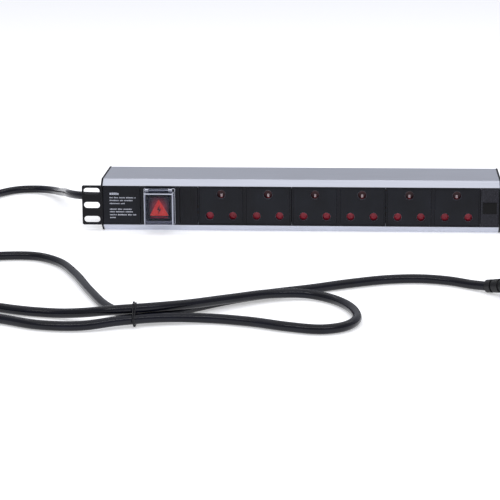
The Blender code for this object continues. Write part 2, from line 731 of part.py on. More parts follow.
def make_cover():
    """The clear box over the switch, its frame on the panel and the pin they share."""
    barrel_left, barrel_right = SWITCH_X - BARREL_HALF, SWITCH_X + BARREL_HALF
    lug_ends = (
        (barrel_left - LUG_GAP - LUG_LENGTH, barrel_left - LUG_GAP),
        (barrel_right + LUG_GAP, barrel_right + LUG_GAP + LUG_LENGTH),
    )

    def frame_plate(bm):
        low = (COVER_LEFT - FRAME_MARGIN, FRAME_FRONT, FRAME_LOW)
        add_box(bm, low, (COVER_RIGHT + FRAME_MARGIN, FRAME_BACK, FRAME_HIGH))

    def frame_window(bm):
        add_box(bm, (SWITCH_X - 14.4, -45, SWITCH_Z - 16.6), (SWITCH_X + 14.4, -35, SWITCH_Z + 16.6))

    def lug_arms(bm):
        for x0, x1 in lug_ends:
            add_box(bm, (x0, HINGE_Y, HINGE_Z - HINGE_LUG), (x1, FRAME_FRONT + 1, HINGE_Z + HINGE_LUG))

    def lug_eyes(bm):
        for x0, x1 in lug_ends:
            add_rod(bm, (x0, HINGE_Y, HINGE_Z), (x1, HINGE_Y, HINGE_Z), HINGE_LUG, 16)

    def pin_hole(bm):
        add_rod(bm, (COVER_LEFT, HINGE_Y, HINGE_Z), (COVER_RIGHT, HINGE_Y, HINGE_Z), HINGE_HOLE, 12)

    frame = solid("cover_frame", clear_plastic, frame_plate)
    cut(frame, frame_window)
    join(frame, lug_arms)
    join(frame, lug_eyes)
    cut(frame, pin_hole)

    def box(bm):
        add_box(bm, (COVER_LEFT, COVER_FRONT, COVER_LOW), (COVER_RIGHT, COVER_BACK, COVER_HIGH))

    def inside(bm):
        wall = COVER_WALL
        low = (COVER_LEFT + wall, COVER_FRONT + wall, COVER_LOW + wall)
        add_box(bm, low, (COVER_RIGHT - wall, COVER_BACK + 1, COVER_HIGH - wall))

    def neck(bm):
        add_box(bm, (barrel_left, HINGE_Y - 1.5, COVER_HIGH - 0.6), (barrel_right, HINGE_Y + 1.5, HINGE_Z))

    def barrel(bm):
        add_rod(bm, (barrel_left, HINGE_Y, HINGE_Z), (barrel_right, HINGE_Y, HINGE_Z), HINGE_BARREL, 16)

    cover = solid("switch_cover", clear_plastic, box)
    cut(cover, inside)
    join(cover, neck)
    join(cover, barrel)
    cut(cover, pin_hole)
    set_origin(cover, (SWITCH_X, HINGE_Y, HINGE_Z))
    profile = [(0, 14.6), (HINGE_PIN, 14.6), (HINGE_PIN, -14.6), (0, -14.6)]
    turned("cover_hinge_pin", zinc, profile, (SWITCH_X, HINGE_Y, HINGE_Z), (1, 0, 0), 12)


def make_gland():
    """A threaded cable gland: its body through the end plate, a dome nut outside and a lock nut inside."""
    body = [
        (8.9, 0.0), (8.9, -1.6), (7.8, -1.6), (7.8, -11.0), (5.3, -11.0), (5.3, 0.0),
    ]
    outside = -(BRACKET_OUTER + 2.0)
    turned("cable_gland", black_plastic, body, (outside, GLAND_Y, GLAND_Z), (-1, 0, 0), 20, True)
    dome = [(6.2, 5.2), (7.6, 4.0), (8.7, 1.6), (8.7, 0.0), (5.3, 0.0), (5.3, 5.2)]
    turned("gland_dome_nut", black_plastic, dome, (outside - GAP, GLAND_Y, GLAND_Z), (-1, 0, 0), 20, True)

    def nut(bm):
        add_rod(bm, (-HALF_LENGTH + 0.3, GLAND_Y, GLAND_Z), (-HALF_LENGTH + 4.2, GLAND_Y, GLAND_Z), 10.4, 6)

    def bore(bm):
        add_rod(bm, (-HALF_LENGTH - 2, GLAND_Y, GLAND_Z), (-HALF_LENGTH + 6, GLAND_Y, GLAND_Z), 8.2, 24)

    cut(solid("gland_lock_nut", black_plastic, nut), bore)


def make_wiring():
    def block(bm):
        add_box(bm, (-147, -10.4, 11.4), (-135, -1.4, 46.6))

    def ways(bm):
        for z in (NEUTRAL_BAR_Z, LIVE_BAR_Z, EARTH_Z):
            add_rod(bm, (-148, -5.9, z), (-134, -5.9, z), 2.7, 14)

    cut(solid("terminal_block", ivory_plastic, block), ways)
    start = CORD_ROUTE[0][0] + FREE_GAP
    live = [
        (start, 8, 33), (-200, 6, 36), (-180, 4, 37.5), (-165, 5, 36), (SWITCH_X - 1, 2, 35.6),
        (SWITCH_X, -2.6, 35.6),
    ]
    neutral = [
        (start, 8, 26.6), (-196, 13, 19), (-172, 10, 14), (-156, -1, 14.6), (-149, -5.6, 15.2),
        (-140.6, -5.9, 15.2),
    ]
    earth = [
        (start, 11, 30), (-196, 16, 42), (-172, 14, 45), (-157, 3, 44), (-149, -5.6, 42.8),
        (-140.6, -5.9, 42.8),
    ]
    wire("live_wire", live_pvc, live, WIRE_RADIUS, 1)
    wire("neutral_wire", neutral_pvc, neutral, WIRE_RADIUS, 1)
    wire("earth_wire", earth_pvc, earth, WIRE_RADIUS, 1)


def make_tie():
    """A flat band round the three strands where the hank is bound."""
    line = smooth_curve(CORD_ROUTE)
    strands = []
    for a, b in zip(line, line[1:]):
        if (a.x - TIE_X) * (b.x - TIE_X) <= 0:
            crossing = a.lerp(b, (TIE_X - a.x) / (b.x - a.x))
            strands.append((crossing.y, crossing.z))

    def around(clearance):
        # The outline that wraps three circles, taken side by side in order round their middle
        middle = Vector((sum(c[0] for c in strands) / 3, sum(c[1] for c in strands) / 3))
        radius = CORD_RADIUS + clearance
        ordered = sorted(strands, key=lambda c: atan2(c[1] - middle.y, c[0] - middle.x))
        points = []
        for i, centre in enumerate(ordered):
            before = ordered[i - 1]
            after = ordered[(i + 1) % 3]
            first = atan2(centre[1] - before[1], centre[0] - before[0]) - pi / 2
            last = atan2(after[1] - centre[1], after[0] - centre[0]) - pi / 2
            while last < first:
                last += 2 * pi
            for k in range(7):
                angle = first + (last - first) * k / 6
                points.append((centre[0] + radius * cos(angle), centre[1] + radius * sin(angle)))
        return points

    loops = [around(TIE_CLEARANCE + TIE_THICKNESS), around(TIE_CLEARANCE)]
    half = TIE_WIDTH / 2
    extruded("twist_tie", black_plastic, loops, "YZ", TIE_X - half, TIE_X + half)


def plug_point(along, across, z):
    """A point in mm from the cord side of the plug, along its heading and to its left."""
    start = Vector(RELIEF_START)
    c, s = cos(PLUG_HEADING), sin(PLUG_HEADING)
    x = start.x + (RELIEF_LENGTH + along) * c - across * s
    y = start.y + (RELIEF_LENGTH + along) * s + across * c
    return (x, y, z)


def make_plug():
    """A moulded three-pin plug with its tapered strain relief."""
    start = Vector(RELIEF_START)
    end = Vector(plug_point(0, 0, start.z + RELIEF_RISE))
    axis = end - start
    length = axis.length - FREE_GAP
    profile = [(7.4, length)]
    rings = 5
    for i in range(rings):
        height = length * (0.9 - 0.78 * i / (rings - 1))
        radius = 6.1 + 1.2 * height / length
        profile += [(radius, height + 1.3), (radius - 0.9, height + 0.9), (radius - 0.9, height - 0.9),
                    (radius, height - 1.3)]
    profile += [(5.7, 0.0), (0, 0.0)]
    relief = turned("plug_strain_relief", black_plastic, [(0, length), *profile], (0, 0, 0), (0, 0, 1), 16)
    relief.rotation_euler = axis.to_track_quat("Z", "Y").to_euler()
    relief.location = (start + axis.normalized() * 0.15) * MM

    half = PLUG_WIDTH / 2
    outline = (
        arc(PLUG_LENGTH - 12, 6, 12, 0, 80, 5) + arc(10, half - 10, 10, 80, 180, 5)
        + arc(10, -half + 10, 10, 180, 280, 5) + arc(PLUG_LENGTH - 12, -6, 12, 280, 360, 5)
    )
    turn = Matrix.Rotation(PLUG_HEADING, 3, "Z")
    centre = Vector(plug_point(0.6, 0, 0))
    curve = bpy.data.curves.new("plug_body", "CURVE")
    curve.dimensions = "2D"
    curve.fill_mode = "BOTH"
    curve.extrude = PLUG_THICKNESS / 2 * MM
    spline = curve.splines.new("POLY")
    spline.points.add(len(outline) - 1)
    for point, (u, v) in zip(spline.points, outline):
        point.co = (u * MM, v * MM, 0, 1)
    spline.use_cyclic_u = True
    drawn = bpy.data.objects.new("plug_outline", curve)
    centre.z = PLUG_THICKNESS / 2
    drawn.matrix_world = Matrix.Translation(centre * MM) @ turn.to_4x4()
    body = curve_to_mesh("plug_body", drawn, black_plastic)
    bevel(body, 2.0, 2)

    line_along = PLUG_LENGTH * 0.26
    pins = [
        ("plug_live_pin", line_along, -PLUG_PIN_SPACING / 2, PLUG_LINE_PIN),
        ("plug_neutral_pin", line_along, PLUG_PIN_SPACING / 2, PLUG_LINE_PIN),
        ("plug_earth_pin", line_along + PLUG_EARTH_OFFSET * 0.9, 0, PLUG_EARTH_PIN),
    ]
    for name, along, across, (radius, height) in pins:
        foot = plug_point(along, across, PLUG_THICKNESS + 0.3)
        profile = [(0, height), (radius - 0.9, height), (radius, height - 1.2), (radius, 0), (0, 0)]
        turned(name, brass, profile, foot, (0, 0, 1), 18)


def make_cord():
    route = smooth_curve(CORD_ROUTE)
    for point in route:
        point.z = max(point.z, CORD_RADIUS + 0.15)
    wire("power_cord", cord_pvc, thinned(route, CORD_POINTS), CORD_RADIUS, 2)


make_housing()
make_bracket("left_end_bracket", -1)
make_bracket("right_end_bracket", 1)
make_end_screws()
make_panels()
for module in range(MODULES):
    make_socket_frame(module)
    make_socket_base(module)
for socket in range(SOCKETS):
    make_socket_face(socket)
    make_shutter(socket)
    make_shutter_spring(socket)
make_bars()
make_switch()
make_cover()
make_gland()
make_wiring()
make_cord()
make_tie()
make_plug()
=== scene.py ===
import random
from math import atan2, cos, hypot, pi, radians, sin

import bmesh
import bpy
from mathutils import Euler, Matrix, Vector


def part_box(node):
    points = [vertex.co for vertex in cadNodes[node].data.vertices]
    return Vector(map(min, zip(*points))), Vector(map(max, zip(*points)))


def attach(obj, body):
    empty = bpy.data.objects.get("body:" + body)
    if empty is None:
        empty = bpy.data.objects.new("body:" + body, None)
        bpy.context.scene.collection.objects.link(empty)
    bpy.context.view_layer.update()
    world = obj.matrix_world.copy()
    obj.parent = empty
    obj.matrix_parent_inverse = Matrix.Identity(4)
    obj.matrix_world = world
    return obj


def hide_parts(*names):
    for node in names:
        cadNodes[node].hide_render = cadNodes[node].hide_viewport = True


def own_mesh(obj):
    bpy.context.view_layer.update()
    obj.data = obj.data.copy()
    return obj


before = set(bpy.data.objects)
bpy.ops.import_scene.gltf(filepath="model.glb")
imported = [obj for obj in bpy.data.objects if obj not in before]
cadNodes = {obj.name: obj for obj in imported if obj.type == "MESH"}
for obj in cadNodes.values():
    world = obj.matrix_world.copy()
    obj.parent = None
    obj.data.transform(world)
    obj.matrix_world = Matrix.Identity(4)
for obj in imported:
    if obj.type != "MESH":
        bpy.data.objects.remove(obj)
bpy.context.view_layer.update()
mm = 0.001
mainBody = "strip"


def boxMm(node):
    low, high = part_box(node)
    return [round(v / mm, 4) for v in low], [round(v / mm, 4) for v in high]


def middleMm(node):
    low, high = boxMm(node)
    return [(a + b) / 2 for a, b in zip(low, high)]


def linear(code):  # sRGB hex to the linear colour that the shaders take
    values = [int(code[i : i + 2], 16) / 255 for i in (0, 2, 4)]
    return (*[v / 12.92 if v <= 0.04045 else ((v + 0.055) / 1.055) ** 2.4 for v in values], 1.0)


def perMetre(size):  # texture scale for a grain of this many millimetres
    return 1000 / size


def addNode(tree, kind, settings=None, inputs=None):
    node = tree.nodes.new(kind)
    for key, value in (settings or {}).items():
        setattr(node, key, value)
    for key, value in (inputs or {}).items():
        if isinstance(value, bpy.types.NodeSocket):
            tree.links.new(value, node.inputs[key])
        else:
            node.inputs[key].default_value = value
    return node


def startMaterial(name, sockets):
    material = bpy.data.materials.new(name)
    material.use_nodes = True
    tree = material.node_tree
    shader = tree.nodes["Principled BSDF"]
    for key, value in sockets.items():
        shader.inputs[key].default_value = value
    coords = addNode(tree, "ShaderNodeTexCoord")
    return material, tree, shader, coords.outputs["Object"]


def setStops(ramp, stops):  # stops are (position, hex colour)
    elements = ramp.color_ramp.elements
    while len(elements) < len(stops):
        elements.new(1.0)
    for element, (position, code) in zip(elements, stops):
        element.position = position
        element.color = linear(code)
    return ramp.outputs["Color"]


def dress(tree, shader, tint, stops, sheen=None, relief=None):
    # Colours over the tint pattern; sheen is (pattern, spread, least)
    # and relief is (pattern, strength, depth in mm)
    ramp = addNode(tree, "ShaderNodeValToRGB", None, {"Fac": tint.outputs["Fac"]})
    tree.links.new(setStops(ramp, stops), shader.inputs["Base Color"])
    if sheen:
        pattern, spread, least = sheen
        rough = addNode(tree, "ShaderNodeMath", {"operation": "MULTIPLY_ADD"}, {
            0: pattern.outputs["Fac"], 1: spread, 2: least,
        })
        tree.links.new(rough.outputs[0], shader.inputs["Roughness"])
    if relief:
        pattern, strength, depth = relief
        bump = addNode(tree, "ShaderNodeBump", None, {
            "Strength": strength, "Distance": depth * mm, "Height": pattern.outputs["Fac"],
        })
        tree.links.new(bump.outputs[0], shader.inputs["Normal"])


aluminiumLook = {"dieLine": 0.55, "lineLength": 60, "smudge": 45}


def anodisedAluminium():
    # Extruded, etched and clear anodised: a satin silver with a faint lavender cast, fine lines along the
    # length from the die, and a sheen that changes softly where it has been handled
    material, tree, shader, place = startMaterial("anodisedExtrudedAluminium", {"Metallic": 0.92})
    lines = addNode(tree, "ShaderNodeMapping", None, {
        "Vector": place,
        "Scale": (perMetre(aluminiumLook["lineLength"]), *[perMetre(aluminiumLook["dieLine"])] * 2),
    })
    grain = addNode(tree, "ShaderNodeTexNoise", None, {
        "Vector": lines.outputs[0], "Scale": 1.0, "Detail": 5.0,
    })
    smudge = addNode(tree, "ShaderNodeTexNoise", None, {
        "Vector": place, "Scale": perMetre(aluminiumLook["smudge"]), "Detail": 3.0,
    })
    dress(tree, shader, grain, [(0.3, "C3C6D0"), (0.7, "D0D3DD")], (smudge, 0.16, 0.28), (grain, 0.05, 0.05))
    return material


def mouldedPlastic(name, dark, light, roughness, grain, bump, specular=0.35):
    # A spark-eroded mould leaves a fine pebble, and the sheen drifts a little across the moulding
    material, tree, shader, place = startMaterial(name, {"Specular IOR Level": specular})
    pebble = addNode(tree, "ShaderNodeTexNoise", None, {
        "Vector": place, "Scale": perMetre(grain), "Detail": 3.0,
    })
    drift = addNode(tree, "ShaderNodeTexNoise", None, {"Vector": place, "Scale": perMetre(22), "Detail": 2.0})
    dress(
        tree, shader, drift, [(0.3, dark), (0.7, light)], (drift, 0.14, roughness - 0.07),
        (pebble, bump, 0.08),
    )
    return material


def powderCoatedSteel():
    # Sprayed and baked: a black orange peel, slightly dusty in its low spots
    material, tree, shader, place = startMaterial("powderCoatedSteel", {"Specular IOR Level": 0.2})
    peel = addNode(tree, "ShaderNodeTexNoise", None, {"Vector": place, "Scale": perMetre(1.1), "Detail": 2.0})
    dress(tree, shader, peel, [(0.35, "0C0C0F"), (0.75, "15151A")], (peel, 0.2, 0.38), (peel, 0.25, 0.12))
    return material


def hammeredLacquer():
    # A hammered black lacquer: pale flecks over dark grey, drawn at 0.9 mm so that they show
    material, tree, shader, place = startMaterial("hammeredBlackLacquer", {
        "Roughness": 0.5, "Specular IOR Level": 0.25,
    })
    fleck = addNode(tree, "ShaderNodeTexNoise", None, {
        "Vector": place, "Scale": perMetre(0.9), "Detail": 4.0,
    })
    stops = [(0.36, "0E0E13"), (0.52, "1C1C23"), (0.68, "3C3C46")]
    dress(tree, shader, fleck, stops, None, (fleck, 0.4, 0.15))
    return material


def plainMetal(name, dark, light, roughness, grain):
    # Rolled or turned and then plated: bright, with a fine uneven sheen
    material, tree, shader, place = startMaterial(name, {"Metallic": 1.0})
    cloud = addNode(tree, "ShaderNodeTexNoise", None, {
        "Vector": place, "Scale": perMetre(grain), "Detail": 4.0,
    })
    dress(tree, shader, cloud, [(0.3, dark), (0.7, light)], (cloud, 0.16, roughness - 0.08))
    return material


jacketLook = {"drawTurns": 0.05, "drawMetres": 0.03, "bloom": 18}  # draw lines by the turn and by the metre


def pvcJacket():
    # Soft PVC drawn over three cores: nearly black, half matte, with long faint draw lines and a waxy bloom
    material, tree, shader, place = startMaterial("extrudedPvcJacket", {"Specular IOR Level": 0.3})
    around = addNode(tree, "ShaderNodeUVMap", {"uv_map": "UVMap"})
    lines = addNode(tree, "ShaderNodeMapping", None, {
        "Vector": around.outputs[0],
        "Scale": (1 / jacketLook["drawTurns"], 1 / jacketLook["drawMetres"], 1),
    })
    draw = addNode(tree, "ShaderNodeTexNoise", None, {
        "Vector": lines.outputs[0], "Scale": 1.0, "Detail": 3.0,
    })
    bloom = addNode(tree, "ShaderNodeTexNoise", None, {
        "Vector": place, "Scale": perMetre(jacketLook["bloom"]), "Detail": 3.0,
    })
    dress(tree, shader, bloom, [(0.3, "04050E"), (0.75, "0A0C1A")], (draw, 0.08, 0.16), (draw, 0.07, 0.1))
    return material


def litRocker():
    # Smoked red polycarbonate with a lamp behind it: red in the middle and grey where the light doesn't reach
    material, tree, shader, place = startMaterial("smokedRedPolycarbonate", {
        "Roughness": 0.3, "Emission Strength": 0.3,
    })
    shift = addNode(tree, "ShaderNodeMapping", {"vector_type": "TEXTURE"}, {
        "Vector": place, "Location": Vector(middleMm("rocker")) * mm, "Scale": (13.5 * mm, 60 * mm, 17 * mm),
    })
    ball = addNode(tree, "ShaderNodeTexGradient", {"gradient_type": "SPHERICAL"}, {
        "Vector": shift.outputs[0],
    })
    dress(tree, shader, ball, [(0.0, "20222E"), (0.35, "50182A"), (0.75, "A0262A")])
    glow = addNode(tree, "ShaderNodeValToRGB", None, {"Fac": ball.outputs["Fac"]})
    stops = setStops(glow, [(0.0, "000000"), (0.3, "3A0A10"), (0.8, "C02A22")])
    tree.links.new(stops, shader.inputs["Emission Color"])
    return material


def litMark():
    # Clear red legend moulded into the rocker, the brightest part of it
    material, tree, shader, place = startMaterial("litRedLegend", {
        "Roughness": 0.3, "Emission Strength": 0.32,
    })
    cloud = addNode(tree, "ShaderNodeTexNoise", None, {"Vector": place, "Scale": perMetre(6), "Detail": 2.0})
    glow = addNode(tree, "ShaderNodeValToRGB", None, {"Fac": cloud.outputs["Fac"]})
    stops = setStops(glow, [(0.3, "D8241C"), (0.7, "E63A26")])
    tree.links.new(stops, shader.inputs["Base Color"])
    tree.links.new(stops, shader.inputs["Emission Color"])
    return material


def clearPolycarbonate(name, show, roughness, tint):
    # Polished clear sheet: mostly see-through, with the softbox across it where it turns away
    material, tree, shader, place = startMaterial(name, {
        "Base Color": linear(tint), "Roughness": roughness, "Specular IOR Level": 0.8,
    })
    haze = addNode(tree, "ShaderNodeTexNoise", None, {"Vector": place, "Scale": perMetre(9), "Detail": 3.0})
    facing = addNode(tree, "ShaderNodeLayerWeight", None, {"Blend": 0.25})
    share = addNode(tree, "ShaderNodeMath", {"operation": "MULTIPLY_ADD"}, {
        0: facing.outputs["Fresnel"], 1: 0.8, 2: show,
    })
    hazy = addNode(tree, "ShaderNodeMath", {"operation": "MULTIPLY_ADD", "use_clamp": True}, {
        0: haze.outputs["Fac"], 1: 0.05, 2: share.outputs[0],
    })
    through = addNode(tree, "ShaderNodeBsdfTransparent", None, {"Color": linear("F4F5FA")})
    mixed = addNode(tree, "ShaderNodeMixShader", None, {
        0: hazy.outputs[0], 1: through.outputs[0], 2: shader.outputs[0],
    })
    tree.links.new(mixed.outputs[0], tree.nodes["Material Output"].inputs["Surface"])
    return material


aluminium = anodisedAluminium()
steel = powderCoatedSteel()
lacquer = hammeredLacquer()
pvc = pvcJacket()
rockerRed = litRocker()
legendRed = litMark()
clearWall = clearPolycarbonate("clearPolycarbonateWall", 0.05, 0.06, "3C4252")
clearEdge = clearPolycarbonate("clearPolycarbonateEdge", 0.85, 0.2, "DCDFEC")  # light leaves it at the edges
# Each moulding has a dark and a light colour, roughness, grain in mm and bump, and where it isn't
# 0.35 a specular
# Satin and pebbled
blackAbs = mouldedPlastic("sparkErodedBlackAbs", "0D0E13", "15161D", 0.42, 0.6, 0.18, 0.2)
faceAbs = mouldedPlastic("polishedBlackAbs", "0E0F15", "15171E", 0.36, 0.8, 0.1, 0.2)  # a little shinier
shutterRed = mouldedPlastic("mouldedRedAbs", "B01E36", "CE2E48", 0.3, 1.2, 0.08)
# Dark maroon: the bolt mark's own colour, and painted shade on the red shutter web behind the earth hole
maroonMarkAndShadedRed = mouldedPlastic("mouldedMaroonAbs", "3C0812", "521020", 0.35, 1.2, 0.08)
camHighlight = mouldedPlastic("mouldedPinkNylon", "F2D2D6", "FFECEE", 0.35, 1.0, 0.08)  # a painted highlight: near-white pink on the red earth cam
badgeBlack = mouldedPlastic("polishedBlankBadge", "040405", "09090B", 0.2, 4.0, 0.02, 0.15)  # piano black
blackNylon = mouldedPlastic("mouldedBlackNylon", "0B0B0E", "121216", 0.45, 0.7, 0.15)
plugPvc = mouldedPlastic("mouldedPlugPvc", "0B0B0D", "151519", 0.4, 0.9, 0.35)  # soft and coarsely grained
tiePvc = mouldedPlastic("coatedTieWire", "0C0C0F", "1A1A1F", 0.3, 1.0, 0.1)
ink = mouldedPlastic("screenPrintedInk", "A9ACB8", "C2C4CE", 0.6, 0.5, 0.1)  # chalky off-white
# A bright thin ring: a painted highlight, lighter grey than the face, and glossy
chamferHighlight = mouldedPlastic("polishedChamfer", "3C3C44", "4C4C55", 0.16, 2.0, 0.02, 0.9)
ivoryUrea = mouldedPlastic("mouldedIvoryUrea", "CFC6AE", "DBD3BD", 0.42, 0.8, 0.12)
lampGlass = mouldedPlastic("neonLampGlass", "E88A5E", "F2A277", 0.12, 2.0, 0.02)  # orange and glossy
zincPlate = plainMetal("brightZincPlate", "B4B6BC", "CDCFD4", 0.3, 1.5)
nickelPlate = plainMetal("nickelPlatedBrass", "B9B4A6", "D2CCBC", 0.22, 3.0)  # slightly warm
brassStrip = plainMetal("stampedBrassStrip", "B4913F", "CDAA55", 0.3, 2.0)
springSteel = plainMetal("drawnSpringSteel", "8E9096", "A9ABB0", 0.28, 1.0)
wireFinish = {
    "live_wire": mouldedPlastic("extrudedRedPvc", "8E1A1C", "A52426", 0.35, 1.0, 0.1),
    "neutral_wire": mouldedPlastic("extrudedBlackPvc", "18181A", "222225", 0.35, 1.0, 0.1),
    "earth_wire": mouldedPlastic("extrudedGreenPvc", "2E6A2C", "3C7E38", 0.35, 1.0, 0.1),
}
print("materials ready")


def inScene(name, data):
    obj = bpy.data.objects.new(name, data)
    bpy.context.scene.collection.objects.link(obj)
    return obj


def evaluatedMesh(obj):
    graph = bpy.context.evaluated_depsgraph_get()
    return bpy.data.meshes.new_from_object(obj.evaluated_get(graph))


def closeInto(bm, name):  # the bmesh's shape as a mesh, with the bmesh freed
    mesh = bpy.data.meshes.new(name)
    bm.to_mesh(mesh)
    bm.free()
    return mesh


def mergeDoubles(mesh, distance):
    bm = bmesh.new()
    bm.from_mesh(mesh)
    bmesh.ops.remove_doubles(bm, verts=bm.verts, dist=distance)
    bmesh.ops.recalc_face_normals(bm, faces=bm.faces)
    bm.to_mesh(mesh)
    bm.free()


def shadeRound(obj, degrees=32):
    # Rounded edges shade smoothly while the flat faces beside them stay flat
    obj.data.shade_smooth()
    obj.data.set_sharp_from_angle(angle=radians(degrees))
    modifier = obj.modifiers.new("flatFaces", "WEIGHTED_NORMAL")
    modifier.keep_sharp = True
    modifier.weight = 90
    rough = obj.data
    name = rough.name
    mesh = evaluatedMesh(obj)
    obj.modifiers.remove(modifier)
    obj.data = mesh
    bpy.data.meshes.remove(rough)
    mesh.name = name
    return obj


def meshObject(name, bm, *materials):
    bmesh.ops.remove_doubles(bm, verts=bm.verts, dist=0.00001)
    bmesh.ops.recalc_face_normals(bm, faces=bm.faces)
    obj = inScene(name, closeInto(bm, name))
    for material in materials:
        obj.data.materials.append(material)
    return shadeRound(obj)


def addBox(bm, low, high):
    low, high = Vector(low) * mm, Vector(high) * mm
    matrix = Matrix.Translation((low + high) / 2) @ Matrix.Diagonal((*(high - low), 1))
    bmesh.ops.create_cube(bm, size=1, matrix=matrix)


def arcPoints(cx, cy, radius, start, end, steps):
    angles = [radians(start + (end - start) * i / steps) for i in range(steps + 1)]
    return [(cx + radius * cos(a), cy + radius * sin(a)) for a in angles]


def circlePoints(cx, cy, radius, steps=48):
    return arcPoints(cx, cy, radius, 0, 360, steps)[:-1]


def roundedRect(x0, z0, x1, z1, radius, steps=6):
    left, right, low, high = x0 + radius, x1 - radius, z0 + radius, z1 - radius
    found = []
    for k, (x, z) in enumerate(((right, high), (left, high), (left, low), (right, low))):
        found += arcPoints(x, z, radius, 90 * k, 90 * k + 90, steps)
    return found


def filleted(points, radius, steps=4):  # each corner of a closed outline turned into an arc
    made = []
    for i, corner in enumerate(points):
        corner = Vector(corner)
        back = Vector(points[i - 1]) - corner
        ahead = Vector(points[(i + 1) % len(points)]) - corner
        cutBack = min(radius, back.length * 0.45, ahead.length * 0.45)
        start = corner + back.normalized() * cutBack
        end = corner + ahead.normalized() * cutBack
        for k in range(steps + 1):
            t = k / steps
            made.append(tuple(start * (1 - t) ** 2 + corner * 2 * t * (1 - t) + end * t * t))
    return made


planeTurns = {"XZ": Euler((pi / 2, 0, 0)), "YZ": Euler((pi / 2, 0, pi / 2))}
planeShift = {"XZ": (0, 1, 0), "YZ": (1, 0, 0)}


def plateMesh(loops, plane, near, far, edge, rings=2):
    # A flat outline with its holes, given a thickness and edges rounded to the radius edge
    curve = bpy.data.curves.new("plate", "CURVE")
    curve.dimensions = "2D"
    curve.fill_mode = "BOTH"
    curve.extrude = (abs(far - near) / 2 - edge) * mm
    curve.bevel_depth = edge * mm
    curve.bevel_resolution = rings
    curve.offset = -edge * mm
    for loop in loops:
        spline = curve.splines.new("POLY")
        spline.points.add(len(loop) - 1)
        for point, (u, v) in zip(spline.points, loop):
            point.co = (u * mm, v * mm, 0, 1)
        spline.use_cyclic_u = True
    drawn = inScene("plateOutline", curve)
    mesh = evaluatedMesh(drawn)
    bpy.data.objects.remove(drawn)
    shift = Matrix.Translation(Vector(planeShift[plane]) * (near + far) / 2 * mm)
    mesh.transform(shift @ planeTurns[plane].to_matrix().to_4x4())
    return mesh


def addMesh(bm, mesh):
    bm.from_mesh(mesh)
    bpy.data.meshes.remove(mesh)


def addPlate(bm, *args):
    addMesh(bm, plateMesh(*args))


def turnedMesh(profile, matrix, steps=40):
    # A profile of (radius, height) turned about its own Z and then placed by the matrix
    bm = bmesh.new()
    verts = [bm.verts.new((r * mm, 0, h * mm)) for r, h in profile]
    edges = [bm.edges.new(pair) for pair in zip(verts, verts[1:])]
    bmesh.ops.spin(
        bm, geom=verts + edges, axis=(0, 0, 1), cent=(0, 0, 0), dvec=(0, 0, 0), angle=2 * pi, steps=steps,
        use_merge=True,
    )
    bmesh.ops.remove_doubles(bm, verts=bm.verts, dist=0.000001)
    bmesh.ops.transform(bm, matrix=matrix, verts=bm.verts)
    bmesh.ops.recalc_face_normals(bm, faces=bm.faces)
    return closeInto(bm, "turned")


def pointing(location, axis):
    turn = Vector(axis).to_track_quat("Z", "Y").to_matrix().to_4x4()
    return Matrix.Translation(Vector(location) * mm) @ turn


def turnedObject(name, profile, place, steps, material):  # place is (location, axis)
    bm = bmesh.new()
    addMesh(bm, turnedMesh(profile, pointing(*place), steps))
    return meshObject(name, bm, material)


def booleanMesh(first, second, operation):  # two closed meshes joined or cut
    objects = []
    for mesh in (first, second):
        mergeDoubles(mesh, 0.00001)
        objects.append(inScene("booleanPart", mesh))
    modifier = objects[0].modifiers.new("cut", "BOOLEAN")
    modifier.object = objects[1]
    modifier.operation = operation
    made = evaluatedMesh(objects[0])
    for obj in objects:
        bpy.data.objects.remove(obj)
    return made


def smoothRoute(route, perSpan=16):  # centripetal Catmull-Rom
    knots = [Vector(p) for p in route]
    knots = [2 * knots[0] - knots[1], *knots, 2 * knots[-1] - knots[-2]]
    found = []
    for i in range(len(route) - 1):
        p = knots[i : i + 4]
        t = [0.0]
        for a, b in zip(p, p[1:]):
            t.append(t[-1] + (b - a).length ** 0.5)
        for step in range(perSpan):
            u = t[1] + (t[2] - t[1]) * step / perSpan
            a = [p[k].lerp(p[k + 1], (u - t[k]) / (t[k + 1] - t[k])) for k in range(3)]
            b = [a[k].lerp(a[k + 1], (u - t[k]) / (t[k + 2] - t[k])) for k in range(2)]
            found.append(b[0].lerp(b[1], (u - t[1]) / (t[2] - t[1])))
    found.append(knots[-2])
    return found


def lengthOf(points):
    return sum((b - a).length for a, b in zip(points, points[1:]))


def evenly(points, spacing):  # the same line with its points a steady distance apart
    lengths = [0.0]
    for a, b in zip(points, points[1:]):
        lengths.append(lengths[-1] + (b - a).length)
    count = max(2, round(lengths[-1] / spacing))
    found, k = [], 0
    for n in range(count + 1):
        wanted = lengths[-1] * n / count
        while k < len(points) - 2 and lengths[k + 1] < wanted:
            k += 1
        span = lengths[k + 1] - lengths[k]
        found.append(points[k].lerp(points[k + 1], min(1.0, (wanted - lengths[k]) / span)))
    return found


